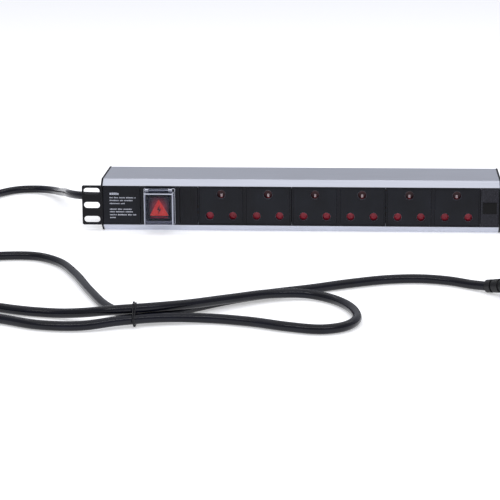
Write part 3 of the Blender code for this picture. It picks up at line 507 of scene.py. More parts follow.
def addTube(bm, points, radiusAt, sides, loop=False):
    # A tube along points, with a UV map of turns round it and metres along it
    uv = bm.loops.layers.uv.verify()
    count = len(points)
    rings, along, normal = [], 0.0, None
    for i, point in enumerate(points):
        ahead = points[(i + 1) % count] if loop or i + 1 < count else point
        behind = points[i - 1] if loop or i else point
        tangent = (ahead - behind).normalized()
        if normal is None:
            normal = tangent.orthogonal()
        normal = (normal - tangent * normal.dot(tangent)).normalized()
        side = tangent.cross(normal)
        if i:
            along += (point - points[i - 1]).length
        ring = []
        for k in range(sides):
            angle = 2 * pi * k / sides
            reach = radiusAt(angle, along)
            ring.append(bm.verts.new((point + (normal * cos(angle) + side * sin(angle)) * reach) * mm))
        rings.append((ring, along * mm))
    pairs = list(zip(rings, rings[1:]))
    if loop:
        pairs.append((rings[-1], rings[0]))
    for (first, v0), (second, v1) in pairs:
        for k in range(sides):
            m = (k + 1) % sides
            face = bm.faces.new((first[k], first[m], second[m], second[k]))
            corners = ((k, v0), (k + 1, v0), (k + 1, v1), (k, v1))
            for corner, (turn, v) in zip(face.loops, corners):
                corner[uv].uv = (turn / sides, v)
    if not loop:
        bm.faces.new(list(reversed(rings[0][0])))
        bm.faces.new(rings[-1][0])


def startTree(name, **inputs):
    tree = bpy.data.node_groups.new(name, "GeometryNodeTree")
    for label, kind in inputs.items():
        tree.interface.new_socket(label, in_out="INPUT", socket_type="NodeSocket" + kind)
    tree.interface.new_socket("Finish", in_out="INPUT", socket_type="NodeSocketMaterial")
    tree.interface.new_socket("Result", in_out="OUTPUT", socket_type="NodeSocketGeometry")
    return tree, addNode(tree, "NodeGroupInput").outputs


def endTree(tree, given, shape):  # realised copies in the given material are what leaves a tree
    real = addNode(tree, "GeometryNodeRealizeInstances", None, {"Geometry": shape.outputs[0]})
    painted = addNode(tree, "GeometryNodeSetMaterial", None, {
        "Geometry": real.outputs[0], "Material": given["Finish"],
    })
    tree.links.new(painted.outputs[0], addNode(tree, "NodeGroupOutput").inputs[0])
    return tree


def repeatTree():
    tree, given = startTree("repeatOnPoints", Points="Geometry", Piece="Object")
    piece = addNode(tree, "GeometryNodeObjectInfo", None, {"Object": given["Piece"]})
    turn = addNode(tree, "GeometryNodeInputNamedAttribute", {"data_type": "FLOAT_VECTOR"}, {"Name": "turn"})
    size = addNode(tree, "GeometryNodeInputNamedAttribute", {"data_type": "FLOAT_VECTOR"}, {"Name": "size"})
    return endTree(tree, given, addNode(tree, "GeometryNodeInstanceOnPoints", None, {
        "Points": given["Points"], "Instance": piece.outputs["Geometry"],
        "Rotation": turn.outputs["Attribute"], "Scale": size.outputs["Attribute"],
    }))


def springTree():
    tree, given = startTree(
        "coilSpring", Turns="Float", Radius="Float", Height="Float", Wire="Float", Foot="Vector",
    )
    coil = addNode(tree, "GeometryNodeCurveSpiral", None, {
        "Resolution": 24, "Rotations": given["Turns"], "Start Radius": given["Radius"],
        "End Radius": given["Radius"], "Height": given["Height"],
    })
    ring = addNode(tree, "GeometryNodeCurvePrimitiveCircle", None, {"Resolution": 8, "Radius": given["Wire"]})
    rod = addNode(tree, "GeometryNodeCurveToMesh", None, {
        "Curve": coil.outputs[0], "Profile Curve": ring.outputs[0], "Fill Caps": True,
    })
    return endTree(tree, given, addNode(tree, "GeometryNodeTransform", None, {
        "Geometry": rod.outputs[0], "Translation": given["Foot"],
    }))


def extrusionTree():
    tree, given = startTree("extrudedProfile", Profile="Object", Start="Vector", End="Vector")
    outline = addNode(tree, "GeometryNodeObjectInfo", None, {"Object": given["Profile"]})
    line = addNode(tree, "GeometryNodeCurvePrimitiveLine", None, {
        "Start": given["Start"], "End": given["End"],
    })
    return endTree(tree, given, addNode(tree, "GeometryNodeCurveToMesh", None, {
        "Curve": line.outputs[0], "Profile Curve": outline.outputs["Geometry"], "Fill Caps": True,
    }))


repeatNodes = repeatTree()
springNodes = springTree()
extrusionNodes = extrusionTree()


def runTree(name, tree, values, points=None):
    # Runs a tree on an object and returns what it makes as a plain mesh object
    base = inScene(name + "Base", points or bpy.data.meshes.new(name + "Base"))
    modifier = base.modifiers.new("nodes", "NODES")
    modifier.node_group = tree
    for item in tree.interface.items_tree:
        if item.in_out == "INPUT" and item.name in values:
            modifier[item.identifier] = values[item.name]
    mesh = evaluatedMesh(base)
    bpy.data.objects.remove(base)
    mergeDoubles(mesh, 0.000002)
    mesh.name = name
    return shadeRound(inScene(name, mesh))


def repeated(name, source, places, material, turns=None, sizes=None):
    # source is a mesh about its own origin; places are in millimetres
    points = bpy.data.meshes.new(name + "Points")
    points.from_pydata([Vector(p) * mm for p in places], [], [])
    for label, values, default in (("turn", turns, (0, 0, 0)), ("size", sizes, (1, 1, 1))):
        attribute = points.attributes.new(label, "FLOAT_VECTOR", "POINT")
        for i in range(len(places)):
            attribute.data[i].vector = values[i] if values else default
    piece = inScene(name + "Source", source)
    made = runTree(name, repeatNodes, {"Piece": piece, "Finish": material}, points)
    bpy.data.objects.remove(piece)
    return made


def addRepeated(bm, *args):  # the copies as part of a larger shape
    copies = repeated(*args)
    bm.from_mesh(copies.data)
    bpy.data.objects.remove(copies)


def settle(obj, body, slot, *replaced):
    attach(obj, body)
    if replaced:
        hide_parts(*replaced)
    return obj


cameraView = {
    "location": (0.07655, -2.02305, 0.47646), "pitch": 75.991, "yaw": 3.8, "roll": -0.436,
    "lens": 133.2, "sensor": 36,
}
lightRig = {
    "world": "B9BBC2", "worldStrength": 0.95, "floor": "F8F8FA", "floorGlow": 0.42,
    "lamps": [  # name, location, the point it faces, size in metres and power in watts
        ("overheadSoftbox", (0, -0.2, 1.9), (0, -0.2, 0), (3.4, 2.2), 15),
        ("frontStrip", (0, -1.6, 1.5), (0, -0.25, 0), (3.0, 0.12), 12),
        ("backStrip", (0, 1.1, 1.5), (0, -0.25, 0), (3.0, 0.12), 4),
    ],
}


def makeCamera():
    data = bpy.data.cameras.new("camera")
    data.sensor_width = cameraView["sensor"]
    data.lens = cameraView["lens"]
    camera = inScene("camera", data)
    aim = Euler((radians(cameraView["pitch"]), 0, radians(cameraView["yaw"]))).to_matrix()
    tilt = Matrix.Rotation(radians(cameraView["roll"]), 3, "Z")
    camera.matrix_world = Matrix.Translation(cameraView["location"]) @ (aim @ tilt).to_4x4()
    bpy.context.scene.camera = camera


def makeFloor():
    bm = bmesh.new()
    place = Matrix.Translation((0, 3, -0.0004))
    bmesh.ops.create_grid(bm, x_segments=1, y_segments=1, size=9, matrix=place)
    material = startMaterial("paintedStudioFloor", {
        "Base Color": linear(lightRig["floor"]), "Roughness": 0.8, "Specular IOR Level": 0.1,
        "Emission Color": linear("FFFFFF"), "Emission Strength": lightRig["floorGlow"],
    })[0]
    floor = meshObject("studioFloor", bm, material)


def makeLight():
    world = bpy.data.worlds.new("studio")
    world.use_nodes = True
    background = world.node_tree.nodes["Background"]
    background.inputs["Color"].default_value = linear(lightRig["world"])
    background.inputs["Strength"].default_value = lightRig["worldStrength"]
    bpy.context.scene.world = world
    for name, location, target, size, power in lightRig["lamps"]:
        data = bpy.data.lights.new(name, "AREA")
        data.shape = "RECTANGLE"
        data.size, data.size_y = size
        data.energy = power
        lamp = inScene(name, data)
        lamp.location = location
        lamp.rotation_euler = (Vector(target) - Vector(location)).to_track_quat("-Z", "Y").to_euler()


makeCamera()
makeFloor()
makeLight()
bpy.context.scene.view_settings.view_transform = "Standard"
print("camera, floor and light ready")


lead = {"radius": 4.6, "floorGap": 0.15, "sides": 26, "ringSpacing": 3.4, "coreLobe": 0.04, "coreLay": 95}
leadRoute = [
    (-209.5, 8, 30), (-219, 8, 30), (-231, 8, 30), (-244, 11, 29.7), (-256, 20.5, 28.4), (-267, 38, 26),
    (-278, 74, 19.8), (-291, 112, 12.2), (-305, 141, 7.6), (-326, 158, 5.2), (-349, 156, 4.8),
    (-368, 136, 4.8), (-381, 106, 4.8), (-402, 45, 4.8), (-420, -35, 4.8), (-428, -120, 4.8),
    (-421, -210, 4.8), (-397, -290, 4.8), (-354, -351, 4.8), (-305, -387, 4.8), (-260, -406, 4.8),
    (-222, -424, 4.8), (-184, -427, 5.2), (-151, -416, 7.0), (-114, -403, 6.8), (-68, -397, 4.9),
    (-31, -406, 4.8), (4, -421, 4.8), (34, -428, 4.8), (54, -419, 4.8), (65, -398, 4.8), (64, -371, 4.8),
    (55, -345, 4.8), (39, -323, 4.8), (16, -311, 5.6), (-17, -319, 7.4), (-54, -345, 9.4),
    (-89, -377, 12.8), (-124, -399, 15.2), (-158, -406, 14.2), (-184, -397, 9.2), (-211, -386, 5.2),
    (-248, -377, 4.8), (-290, -357, 4.8), (-338, -322, 4.8), (-367, -272, 4.8), (-363, -218, 4.8),
    (-338, -184, 4.8), (-306, -171, 4.8), (-271, -171, 4.8), (-242, -195, 4.8), (-218, -242, 4.8),
    (-194, -304, 4.8), (-171, -357, 4.8), (-151, -387, 6.6), (-128, -395, 7.0), (-104, -382, 5.8),
    (-82, -356, 4.8), (-52, -330, 4.8), (-18, -309, 4.8), (20, -290, 4.8), (59, -268, 4.8),
    (95, -252, 4.8), (127, -248, 4.8), (155, -255, 4.8), (177, -269, 5.0), (190, -279, 6.3),
]


def leadLine():
    line = smoothRoute(leadRoute)
    for point in line:
        point.z = max(point.z, lead["radius"] + lead["floorGap"])
    return line


def leadRadius(angle, along):  # the three twisted cores show faintly through the jacket
    return lead["radius"] + lead["coreLobe"] * (cos(3 * angle - 2 * pi * along / lead["coreLay"]) - 1)


def makeLead():
    points = evenly(leadLine(), lead["ringSpacing"])
    bm = bmesh.new()
    addTube(bm, points, leadRadius, lead["sides"])
    cord = settle(meshObject("mainsLead", bm, pvc), mainBody, "cord_pvc", "power_cord")
    return cord, [p * mm for p in points], lengthOf(points) * mm


tie = {
    "x": -137.0, "wire": 0.62, "clearance": 0.75, "spread": 1.1, "wander": 0.55, "points": 120,
    "knotTurns": 2.5,
}


def bundleOutline(offset, count):
    # Points round the three strands where the tie sits, as a rubber band round them would run
    line = leadLine()
    strands = []
    for a, b in zip(line, line[1:]):
        if (a.x - tie["x"]) * (b.x - tie["x"]) <= 0:
            crossing = a.lerp(b, (tie["x"] - a.x) / (b.x - a.x))
            strands.append(Vector((crossing.y, crossing.z)))
    middle = sum(strands, Vector((0, 0))) / len(strands)
    ordered = sorted(strands, key=lambda c: atan2(c[1] - middle[1], c[0] - middle[0]))
    radius = lead["radius"] + offset
    found = []
    for i, centre in enumerate(ordered):
        before, after = ordered[i - 1], ordered[(i + 1) % len(ordered)]
        first = atan2(centre[1] - before[1], centre[0] - before[0]) - pi / 2
        last = atan2(after[1] - centre[1], after[0] - centre[0]) - pi / 2
        while last < first:
            last += 2 * pi
        for k in range(13):
            angle = first + (last - first) * k / 12
            found.append(Vector((0, centre[0] + radius * cos(angle), centre[1] + radius * sin(angle))))
    found.append(found[0].copy())
    return evenly(found, lengthOf(found) / count)[:-1]


def makeTie():
    bm = bmesh.new()
    ring = bundleOutline(tie["clearance"], tie["points"])
    middle = sum(ring, Vector()) / len(ring)
    lowest = tie["wire"] + 0.1
    for side in (-1, 1):  # two wires that wander in and out past each other
        points = []
        for i, point in enumerate(ring):
            turn = 2 * pi * i / len(ring)
            out = (point - middle).normalized() * tie["wander"] * (side * sin(2 * turn + 0.6) + 1)
            spot = point + out + Vector((tie["x"] + side * tie["spread"] * cos(turn + 0.9), 0, 0))
            spot.z = max(spot.z, lowest)
            points.append(spot)
        addTube(bm, points, lambda angle, along: tie["wire"], 10, True)
    front = min(ring, key=lambda p: p.y)
    knot = []
    for i in range(60):  # the two ends twisted together, standing a little off the front strand
        t = i / 59
        angle = 2 * pi * tie["knotTurns"] * t
        x = tie["x"] + 0.75 * cos(angle) + 1.5 * t
        y = front.y - 0.8 - 1.56 * sin(pi * min(t, 0.5)) + 0.4 * sin(angle)
        z = front.z + 1.4 - 6.2 * t + 0.75 * sin(angle)
        knot.append(Vector((x, y, max(z, lowest))))
    addTube(bm, knot, lambda angle, along: tie["wire"] * 0.9, 8)
    return settle(meshObject("wireTie", bm, tiePvc), mainBody, "tie_pvc", "twist_tie")


plug = {
    "start": (190.6, -279.5, 6.4), "heading": atan2(-0.6, 0.8), "reliefLength": 34.0, "reliefRise": 6.6,
    "groovePitch": 9.0, "groove": 1.9, "length": 50.0, "width": 48.0, "thickness": 27.0, "taper": radians(12),
    "pinSpacing": 25.4, "earthOffset": 28.6 * 0.9, "linePin": (3.53, 20.6), "earthPin": (4.35, 28.0),
    "gap": 0.6,
}


def alongPlug(distance):
    return Vector((distance * cos(plug["heading"]), distance * sin(plug["heading"]), 0))


def makeRelief():
    start = Vector(plug["start"])
    axis = alongPlug(plug["reliefLength"]) + Vector((0, 0, plug["reliefRise"]))
    length = axis.length - 0.7
    profile = [(4.75, 0.6), (4.75, 0.0), (5.6, 0.0), (6.3, 0.5)]
    groove = plug["groove"]
    count = int((length - 6) / plug["groovePitch"])
    for i in range(count):  # grooves between the rings, deeper towards the cord
        height = 6.6 + plug["groovePitch"] * i
        radius = 6.35 + 1.1 * height / length
        deep = radius - 1.25 + 0.4 * i / count
        profile += [
            (radius, height - 0.25), (radius - 0.25, height), (deep, height + 0.15),
            (deep, height + groove - 0.15), (radius - 0.2, height + groove),
            (radius + 0.05, height + groove + 0.25),
        ]
    profile += [(7.5, length - 2), (7.6, length), (0, length), (0, 0.6)]
    place = (start + axis.normalized() * 0.15, axis)
    relief = turnedObject("strainRelief", profile, place, 48, plugPvc)
    return settle(relief, mainBody, "plug_pvc", "plug_strain_relief")


def plugMatrix():
    spot = Vector(plug["start"]) + alongPlug(plug["reliefLength"] + plug["gap"])
    spot.z = 0
    return Matrix.Translation(spot * mm) @ Matrix.Rotation(plug["heading"], 4, "Z")


def plugOutline(inset):
    half, length = plug["width"] / 2 - inset, plug["length"] - inset
    tip, root = 12 - inset * 0.5, 10 - inset * 0.3
    return (
        arcPoints(length - tip, half - 18, tip, 0, 78, 10)
        + arcPoints(inset + root, half - root, root, 78, 180, 12)
        + arcPoints(inset + root, root - half, root, 180, 282, 12)
        + arcPoints(length - tip, 18 - half, tip, 282, 360, 10)
    )


def makePlugBody():
    top = plug["thickness"]
    layers = [  # height and how far in from the widest outline
        (0, 5.2), (0.5, 3.4), (1.6, 1.9), (3.4, 0.8), (6.5, 0.2), (11, 0.0), (top - 6, 0.0),
        (top - 5.8, 0.35),
        (top - 5.2, 0.35), (top - 5.0, 0.0), (top - 1.6, 0.1), (top - 0.7, 0.45), (top - 0.15, 1.1),
        (top, 1.9),
    ]
    bm = bmesh.new()
    rings = []
    for z, inset in layers:
        rings.append([bm.verts.new((u * mm, v * mm, z * mm)) for u, v in plugOutline(inset)])
    for low, high in zip(rings, rings[1:]):
        for k in range(len(low)):
            m = (k + 1) % len(low)
            bm.faces.new((low[k], low[m], high[m], high[k]))
    bm.faces.new(list(reversed(rings[0])))
    bm.faces.new(rings[-1])
    rib = plateMesh([roundedRect(-0.8, -5.5, 0.8, 5.5, 0.75)], "XZ", -0.9, 0.9, 0.35)
    places, turns = [], []
    for side in (-1, 1):  # the grip's ribs stand on sides that close in towards the far end
        for i in range(6):
            reach = plug["width"] / 2 - 0.6 - 2.9 * (i + 0.3) * sin(plug["taper"])
            places.append((13 + 2.9 * i, side * reach, 13.0))
            turns.append((0, 0, -side * plug["taper"]))
    addRepeated(bm, "gripRibs", rib, places, plugPvc, turns)
    bmesh.ops.transform(bm, matrix=plugMatrix(), verts=bm.verts)
    return settle(meshObject("plugBody", bm, plugPvc), mainBody, "plug_pvc", "plug_body")


def makePins():
    lineAlong, half = plug["length"] * 0.26, plug["pinSpacing"] / 2
    made = []
    for name, node, along, across, (radius, height) in (
        ("livePin", "plug_live_pin", lineAlong, -half, plug["linePin"]),
        ("neutralPin", "plug_neutral_pin", lineAlong, half, plug["linePin"]),
        ("earthPin", "plug_earth_pin", lineAlong + plug["earthOffset"], 0, plug["earthPin"]),
    ):
        shoulder, slim = height - radius * 0.55, radius - 0.12
        angles = [radians(9 * k) for k in range(1, 10)]
        tip = [(radius * cos(a), shoulder + radius * 0.55 * sin(a)) for a in angles]
        profile = [
            (0, 0), (radius, 0), (radius, 1.0), (slim, 1.2), (slim, 1.7), (radius, 1.9), (radius, shoulder),
            *tip, (0, height),
        ]
        spot = Vector((along - plug["gap"], across, plug["thickness"] + 0.3)) * mm
        bm = bmesh.new()
        addMesh(bm, turnedMesh(profile, plugMatrix() @ Matrix.Translation(spot), 40))
        made.append(settle(meshObject(name, bm, nickelPlate), mainBody, "plated_brass", node))
    return made


wrapTie = makeTie()
mainsLead, leadPath, leadLength = makeLead()
strainRelief = makeRelief()
plugBody = makePlugBody()
plugPins = makePins()
print("lead and plug ready", round(leadLength, 3))


housingShape = {
    "chamfer": 9.0, "frontLow": 7.9, "frontHigh": 51.8, "wall": 1.8, "ledgeFront": -34.9, "ledgeBack": -33.5,
    "ledgeLow": 10.6, "ledgeHigh": 49.2, "port": 3.4, "portY": 4.0, "outerRound": 0.8, "innerRound": 0.25,
}


def housingOutline():
    h = housingShape
    low, high = boxMm("housing")
    front, back, top = low[1], high[1], high[2]
    edge = front + h["chamfer"]
    lowSlope, highSlope = h["frontLow"] / h["chamfer"], (top - h["frontHigh"]) / h["chamfer"]
    lowRise, highRise = h["wall"] * hypot(1, lowSlope), h["wall"] * hypot(1, highSlope)
    inLow, inTop, inBack = h["wall"], top - h["wall"], back - h["wall"]
    near, far, deep = h["portY"] - h["port"], h["portY"] + h["port"], 2 * h["port"]
    outer = [
        (front, h["frontLow"]), (edge, 0), (back, 0), (back, top), (edge, top), (front, h["frontHigh"]),
    ]
    inner = [
        (h["ledgeFront"], h["frontHigh"]), (h["ledgeFront"], h["ledgeHigh"]),
        (h["ledgeBack"], h["ledgeHigh"]),
        (h["ledgeBack"], h["frontHigh"] + highSlope * (h["ledgeBack"] - front) - highRise),
        (front + (inTop - h["frontHigh"] + highRise) / highSlope, inTop),
        (near, inTop), (near, inTop - deep), (far, inTop - deep), (far, inTop), (inBack, inTop),
        (inBack, inLow), (far, inLow), (far, inLow + deep), (near, inLow + deep), (near, inLow),
        (front + (h["frontLow"] + lowRise - inLow) / lowSlope, inLow),
        (h["ledgeBack"], h["frontLow"] - lowSlope * (h["ledgeBack"] - front) + lowRise),
        (h["ledgeBack"], h["ledgeLow"]), (h["ledgeFront"], h["ledgeLow"]), (h["ledgeFront"], h["frontLow"]),
    ]
    outside = filleted(outer + inner, h["outerRound"], 5)[: 6 * len(outer)]
    return outside + filleted(outer + inner, h["innerRound"], 2)[3 * len(outer) :]


def makeHousing():
    outline = housingOutline()
    curve = bpy.data.curves.new("housingProfile", "CURVE")
    curve.dimensions = "3D"
    spline = curve.splines.new("POLY")
    spline.points.add(len(outline) - 1)
    for point, (y, z) in zip(spline.points, outline):
        point.co = (-y * mm, -z * mm, 0, 1)  # the sweep turns the profile half way round
    spline.use_cyclic_u = True
    profile = inScene("housingProfile", curve)
    low, high = boxMm("housing")
    housing = runTree("housingShell", extrusionNodes, {
        "Profile": profile, "Start": (low[0] * mm, 0, 0), "End": (high[0] * mm, 0, 0), "Finish": aluminium,
    })
    bpy.data.objects.remove(profile)
    settle(housing, mainBody, "anodised_aluminium", "housing")


bracket = {
    "inner": 218.2, "thickness": 2.0, "edge": 0.45, "screwY": 4.0, "screwHole": 1.9, "screwZ": (5.2, 53.0),
    "glandHole": 8.1, "earLow": 7.7, "earHigh": 52.1, "earThickness": 2.2, "earEdge": 0.5, "earOverlap": 0.6,
    "slotPitch": 15.875, "slotHeight": 7.0, "slotInner": 221.5, "slotOuter": 239.3,
}


def makeBracket(node, name, side):
    h, b = housingShape, bracket
    low, high = boxMm(node)
    top, front, back = high[2], low[1] + 0.3, high[1]
    edge = front + h["chamfer"]
    outline = filleted([
        (front, h["frontLow"] - 0.4), (edge, 0), (back, 0), (back, top), (edge, top),
        (front, h["frontHigh"] + 0.5),
    ], 1.0, 4)
    holes = [circlePoints(b["screwY"], z, b["screwHole"], 20) for z in b["screwZ"]]
    if side < 0:
        _, y, z = middleMm("cable_gland")
        holes.append(circlePoints(y, z, b["glandHole"], 40))
    inner = side * b["inner"]
    plate = plateMesh([outline, *holes], "YZ", inner, inner + side * b["thickness"], b["edge"])
    x0, x1 = sorted((inner + side * b["earOverlap"], low[0] if side < 0 else high[0]))
    ear = [roundedRect(x0, b["earLow"], x1, b["earHigh"], 2.0, 8)]
    s0, s1 = sorted((side * b["slotInner"], side * b["slotOuter"]))
    half = b["slotHeight"] / 2
    for row in (-1, 0, 1):
        z = (b["earLow"] + b["earHigh"]) / 2 + row * b["slotPitch"]
        ear.append(roundedRect(s0, z - half, s1, z + half, half - 0.01, 10))
    flat = plateMesh(ear, "XZ", low[1], low[1] + b["earThickness"], b["earEdge"])
    bm = bmesh.new()
    addMesh(bm, booleanMesh(plate, flat, "UNION"))
    settle(meshObject(name, bm, steel), mainBody, "coated_steel", node)


screwShape = {
    "radius": 3.2, "rise": 2.2, "shank": 1.5, "reach": 15.0, "recessHalf": 0.45, "recessReach": 1.9,
    "depth": 1.1,
}


def screwMesh():
    # Pan head with a cross recess, about its own Z with the seat at zero
    r, rise, shank, reach = (screwShape[k] for k in ("radius", "rise", "shank", "reach"))
    dome = [(r * cos(a), rise * sin(a) ** 0.8) for a in [radians(15 * k) for k in range(5, 0, -1)]]
    thread = []
    for i in range(11):
        height = -1.2 - 1.0 * i
        thread += [(shank, height), (shank - 0.25, height - 0.5)]
    profile = [(0, rise), *dome, (r, 0), (shank, 0), *thread, (0.5, -reach), (0, -reach)]
    mesh = turnedMesh(profile, Matrix.Identity(4), 24)
    long, short = screwShape["recessReach"], screwShape["recessHalf"]
    for x, y, past in ((long, short, 0), (short, long, 0.01)):
        slot = bmesh.new()
        addBox(slot, (-x, -y, rise - screwShape["depth"] - past), (x, y, rise + 1 + past))
        mesh = booleanMesh(mesh, closeInto(slot, "recess"), "DIFFERENCE")
    return mesh


def makeEndScrews():
    places, turns, names = [], [], []
    for side, word in ((-1, "left"), (1, "right")):
        for number in (1, 2):
            node = f"{word}_end_screw_{number}"
            _, y, z = middleMm(node)
            low, high = boxMm(node)
            places.append(((high[0] if side > 0 else low[0]) - side * screwShape["rise"], y, z))
            turns.append((0, side * pi / 2, 0))
            names.append(node)
    screws = repeated("endScrews", screwMesh(), places, zincPlate, turns)
    settle(screws, mainBody, "zinc_screws", *names)


makeHousing()
makeBracket("left_end_bracket", "leftEndBracket", -1)
makeBracket("right_end_bracket", "rightEndBracket", 1)
makeEndScrews()
print("housing and brackets ready")


panelShape = {"edge": 0.2, "corner": 0.22, "windowHalf": (12.6, 15), "ribs": (0.24, 0.62, 0.82)}


def boxRect(low, high, inset, radius, steps=6):  # the front outline of a box, drawn in by inset
    return roundedRect(low[0] + inset, low[2] + inset, high[0] - inset, high[2] - inset, radius, steps)


def centredRect(x, z, halfX, halfZ, radius):
    return roundedRect(x - halfX, z - halfZ, x + halfX, z + halfZ, radius)


def makePanel(node, name, material, holes=(), extras=None):
    low, high = boxMm(node)
    bm = bmesh.new()
    outline = boxRect(low, high, 0, panelShape["corner"], 3)
    addPlate(bm, [outline, *holes], "XZ", low[1], high[1], panelShape["edge"])
    if extras:
        extras(bm, low, high)
    settle(meshObject(name, bm, material), mainBody, "black_abs", node)


def spacerRibs(bm, low, high):  # low ribs where the socket modules slide along
    for share in panelShape["ribs"]:
        x = low[0] + (high[0] - low[0]) * share
        rib = roundedRect(x - 0.3, low[2] + 1.2, x + 0.3, high[2] - 1.2, 0.25, 3)
        addPlate(bm, [rib], "XZ", low[1] - 0.18, low[1] + 0.3, 0.1)


def badgeBorder(bm, low, high):
    border = [boxRect(low, high, 0.5, 0.6, 4), boxRect(low, high, 1.1, 0.4, 4)]
    addPlate(bm, border, "XZ", low[1] - 0.12, low[1] + 0.2, 0.05)


def makePanels():
    x, _, z = middleMm("switch_body")
    makePanel("label_panel", "labelPanel", faceAbs)
    makePanel("switch_panel", "switchPanel", faceAbs, [centredRect(x, z, *panelShape["windowHalf"], 0.8)])
    makePanel("spacer_panel", "spacerPanel", blackAbs, extras=spacerRibs)
    makePanel("end_panel", "endPanel", lacquer)
    makePanel("badge_plate", "blankBadge", badgeBlack, extras=badgeBorder)


greeked = {
    "left": 7.2, "headHeight": 2.5, "rowHeight": 1.35, "letter": 0.95, "gap": 0.42, "space": 1.1,
    "proud": 0.06,
    "rows": [(34.6, 8.5, True), (30.2, 29.0, False), (27.0, 24.5, False), (23.6, 16.8, False),
             (17.2, 24.4, False), (14.3, 24.8, False), (10.9, 28.8, False), (7.7, 6.4, False)],
}


def makeLabelRows():
    # Rows of plain blocks where the rating text stands; they spell nothing
    g = greeked
    draw = random.Random(7)
    low = boxMm("label_panel")[0]
    block = bmesh.new()
    addBox(block, (-0.5, -0.5, -0.5), (0.5, 0.5, 0.5))
    places, sizes = [], []
    for height, width, heading in g["rows"]:
        tall, stretch = (g["headHeight"], 1.6) if heading else (g["rowHeight"], 1)
        x, left = low[0] + g["left"], draw.randint(3, 9)
        end = x + width
        while x < end:
            wide = g["letter"] * draw.uniform(0.7, 1.25) * stretch
            short = tall * draw.choice((1.0, 0.82, 0.82, 0.9))
            places.append((
                x + wide / 2, low[1] - g["proud"] / 2 + 0.02, low[2] + height - (tall - short) / 2,
            ))
            sizes.append((wide, g["proud"] + 0.04, short))
            x += wide + g["gap"]
            left -= 1
            if left == 0:
                x += g["space"]
                left = draw.randint(3, 9)
    rows = repeated("labelRows", closeInto(block, "block"), places, ink, None, sizes)
    settle(rows, mainBody, "black_abs")


socketShape = {
    "plateBack": -35.5, "plateCorner": 1.0, "plateEdge": 0.35, "earth": (12.95, 4.6), "line": (-11.35, 4.3),
    "halfSpacing": 12.7, "tubeWall": 1.4, "tubeStart": 2.2, "tubeBack": -31.8, "windowGap": 0.1, "rim": 0.55,
}


def holePlaces(x, z):  # (x, z, radius) of a socket's earth, live and neutral holes
    s = socketShape
    (up, earthHole), (down, lineHole) = s["earth"], s["line"]
    return [(x, z + up, earthHole), (x - s["halfSpacing"], z + down, lineHole),
            (x + s["halfSpacing"], z + down, lineHole)]


def makeSocketFace(number):
    s = socketShape
    node = f"socket_face_{number}"
    low, high = boxMm(node)
    x, _, z = middleMm(node)
    front, rim = low[1], s["rim"]
    found = holePlaces(x, z)
    bm = bmesh.new()
    holes = [circlePoints(px, pz, r + rim) for px, pz, r in found]
    addPlate(
        bm, [boxRect(low, high, 0, s["plateCorner"]), *holes], "XZ", front, s["plateBack"],
        s["plateEdge"],
    )
    for px, pz, r in found:  # a chamfered mouth that runs into the guide tube behind it
        profile = [
            (r + rim + 0.1, 0.15), (r + rim, 0.02), (r + rim - 0.1, -0.06), (r + 0.12, 0.42), (r, 0.75),
            (r, s["tubeBack"] - front), (r + s["tubeWall"], s["tubeBack"] - front),
            (r + s["tubeWall"], s["tubeStart"]), (r + rim + 0.1, s["tubeStart"]), (r + rim + 0.1, 0.15),
        ]
        addMesh(bm, turnedMesh(profile, pointing((px, front, pz), (0, 1, 0)), 48))
    face = meshObject(f"socketFace{number}", bm, faceAbs, chamferHighlight)
    for polygon in face.data.polygons:  # the chamfers are drawn lighter grey as a painted highlight, and glossy
        centre = polygon.center / mm
        tilted = 0.3 < -polygon.normal.y < 0.95 and centre.y < front + 0.7
        past = min(hypot(centre.x - px, centre.z - pz) - r for px, pz, r in found)
        polygon.material_index = int(tilted and past < rim)
    settle(face, mainBody, "black_abs", node)


def makeSocketFrame(number):
    windows = []
    for k in (2 * number - 1, 2 * number):
        windows.append(boxRect(*boxMm(f"socket_face_{k}"), -socketShape["windowGap"], 1.2))
    makePanel(f"socket_frame_{number}", f"socketFrame{number}", blackAbs, windows)


shutterShape = {
    "barLow": 13.8, "barHigh": 23.2, "stem": 2.0, "armLow": 36.9, "armHigh": 38.4, "springX": 8.2,
    "armPast": 2.6,
    "edge": 0.3, "boss": 3.2, "bossZ": 18.5, "webHalf": 4.9, "camLow": 38.9, "camHigh": 42.6, "camHalf": 1.2,
}


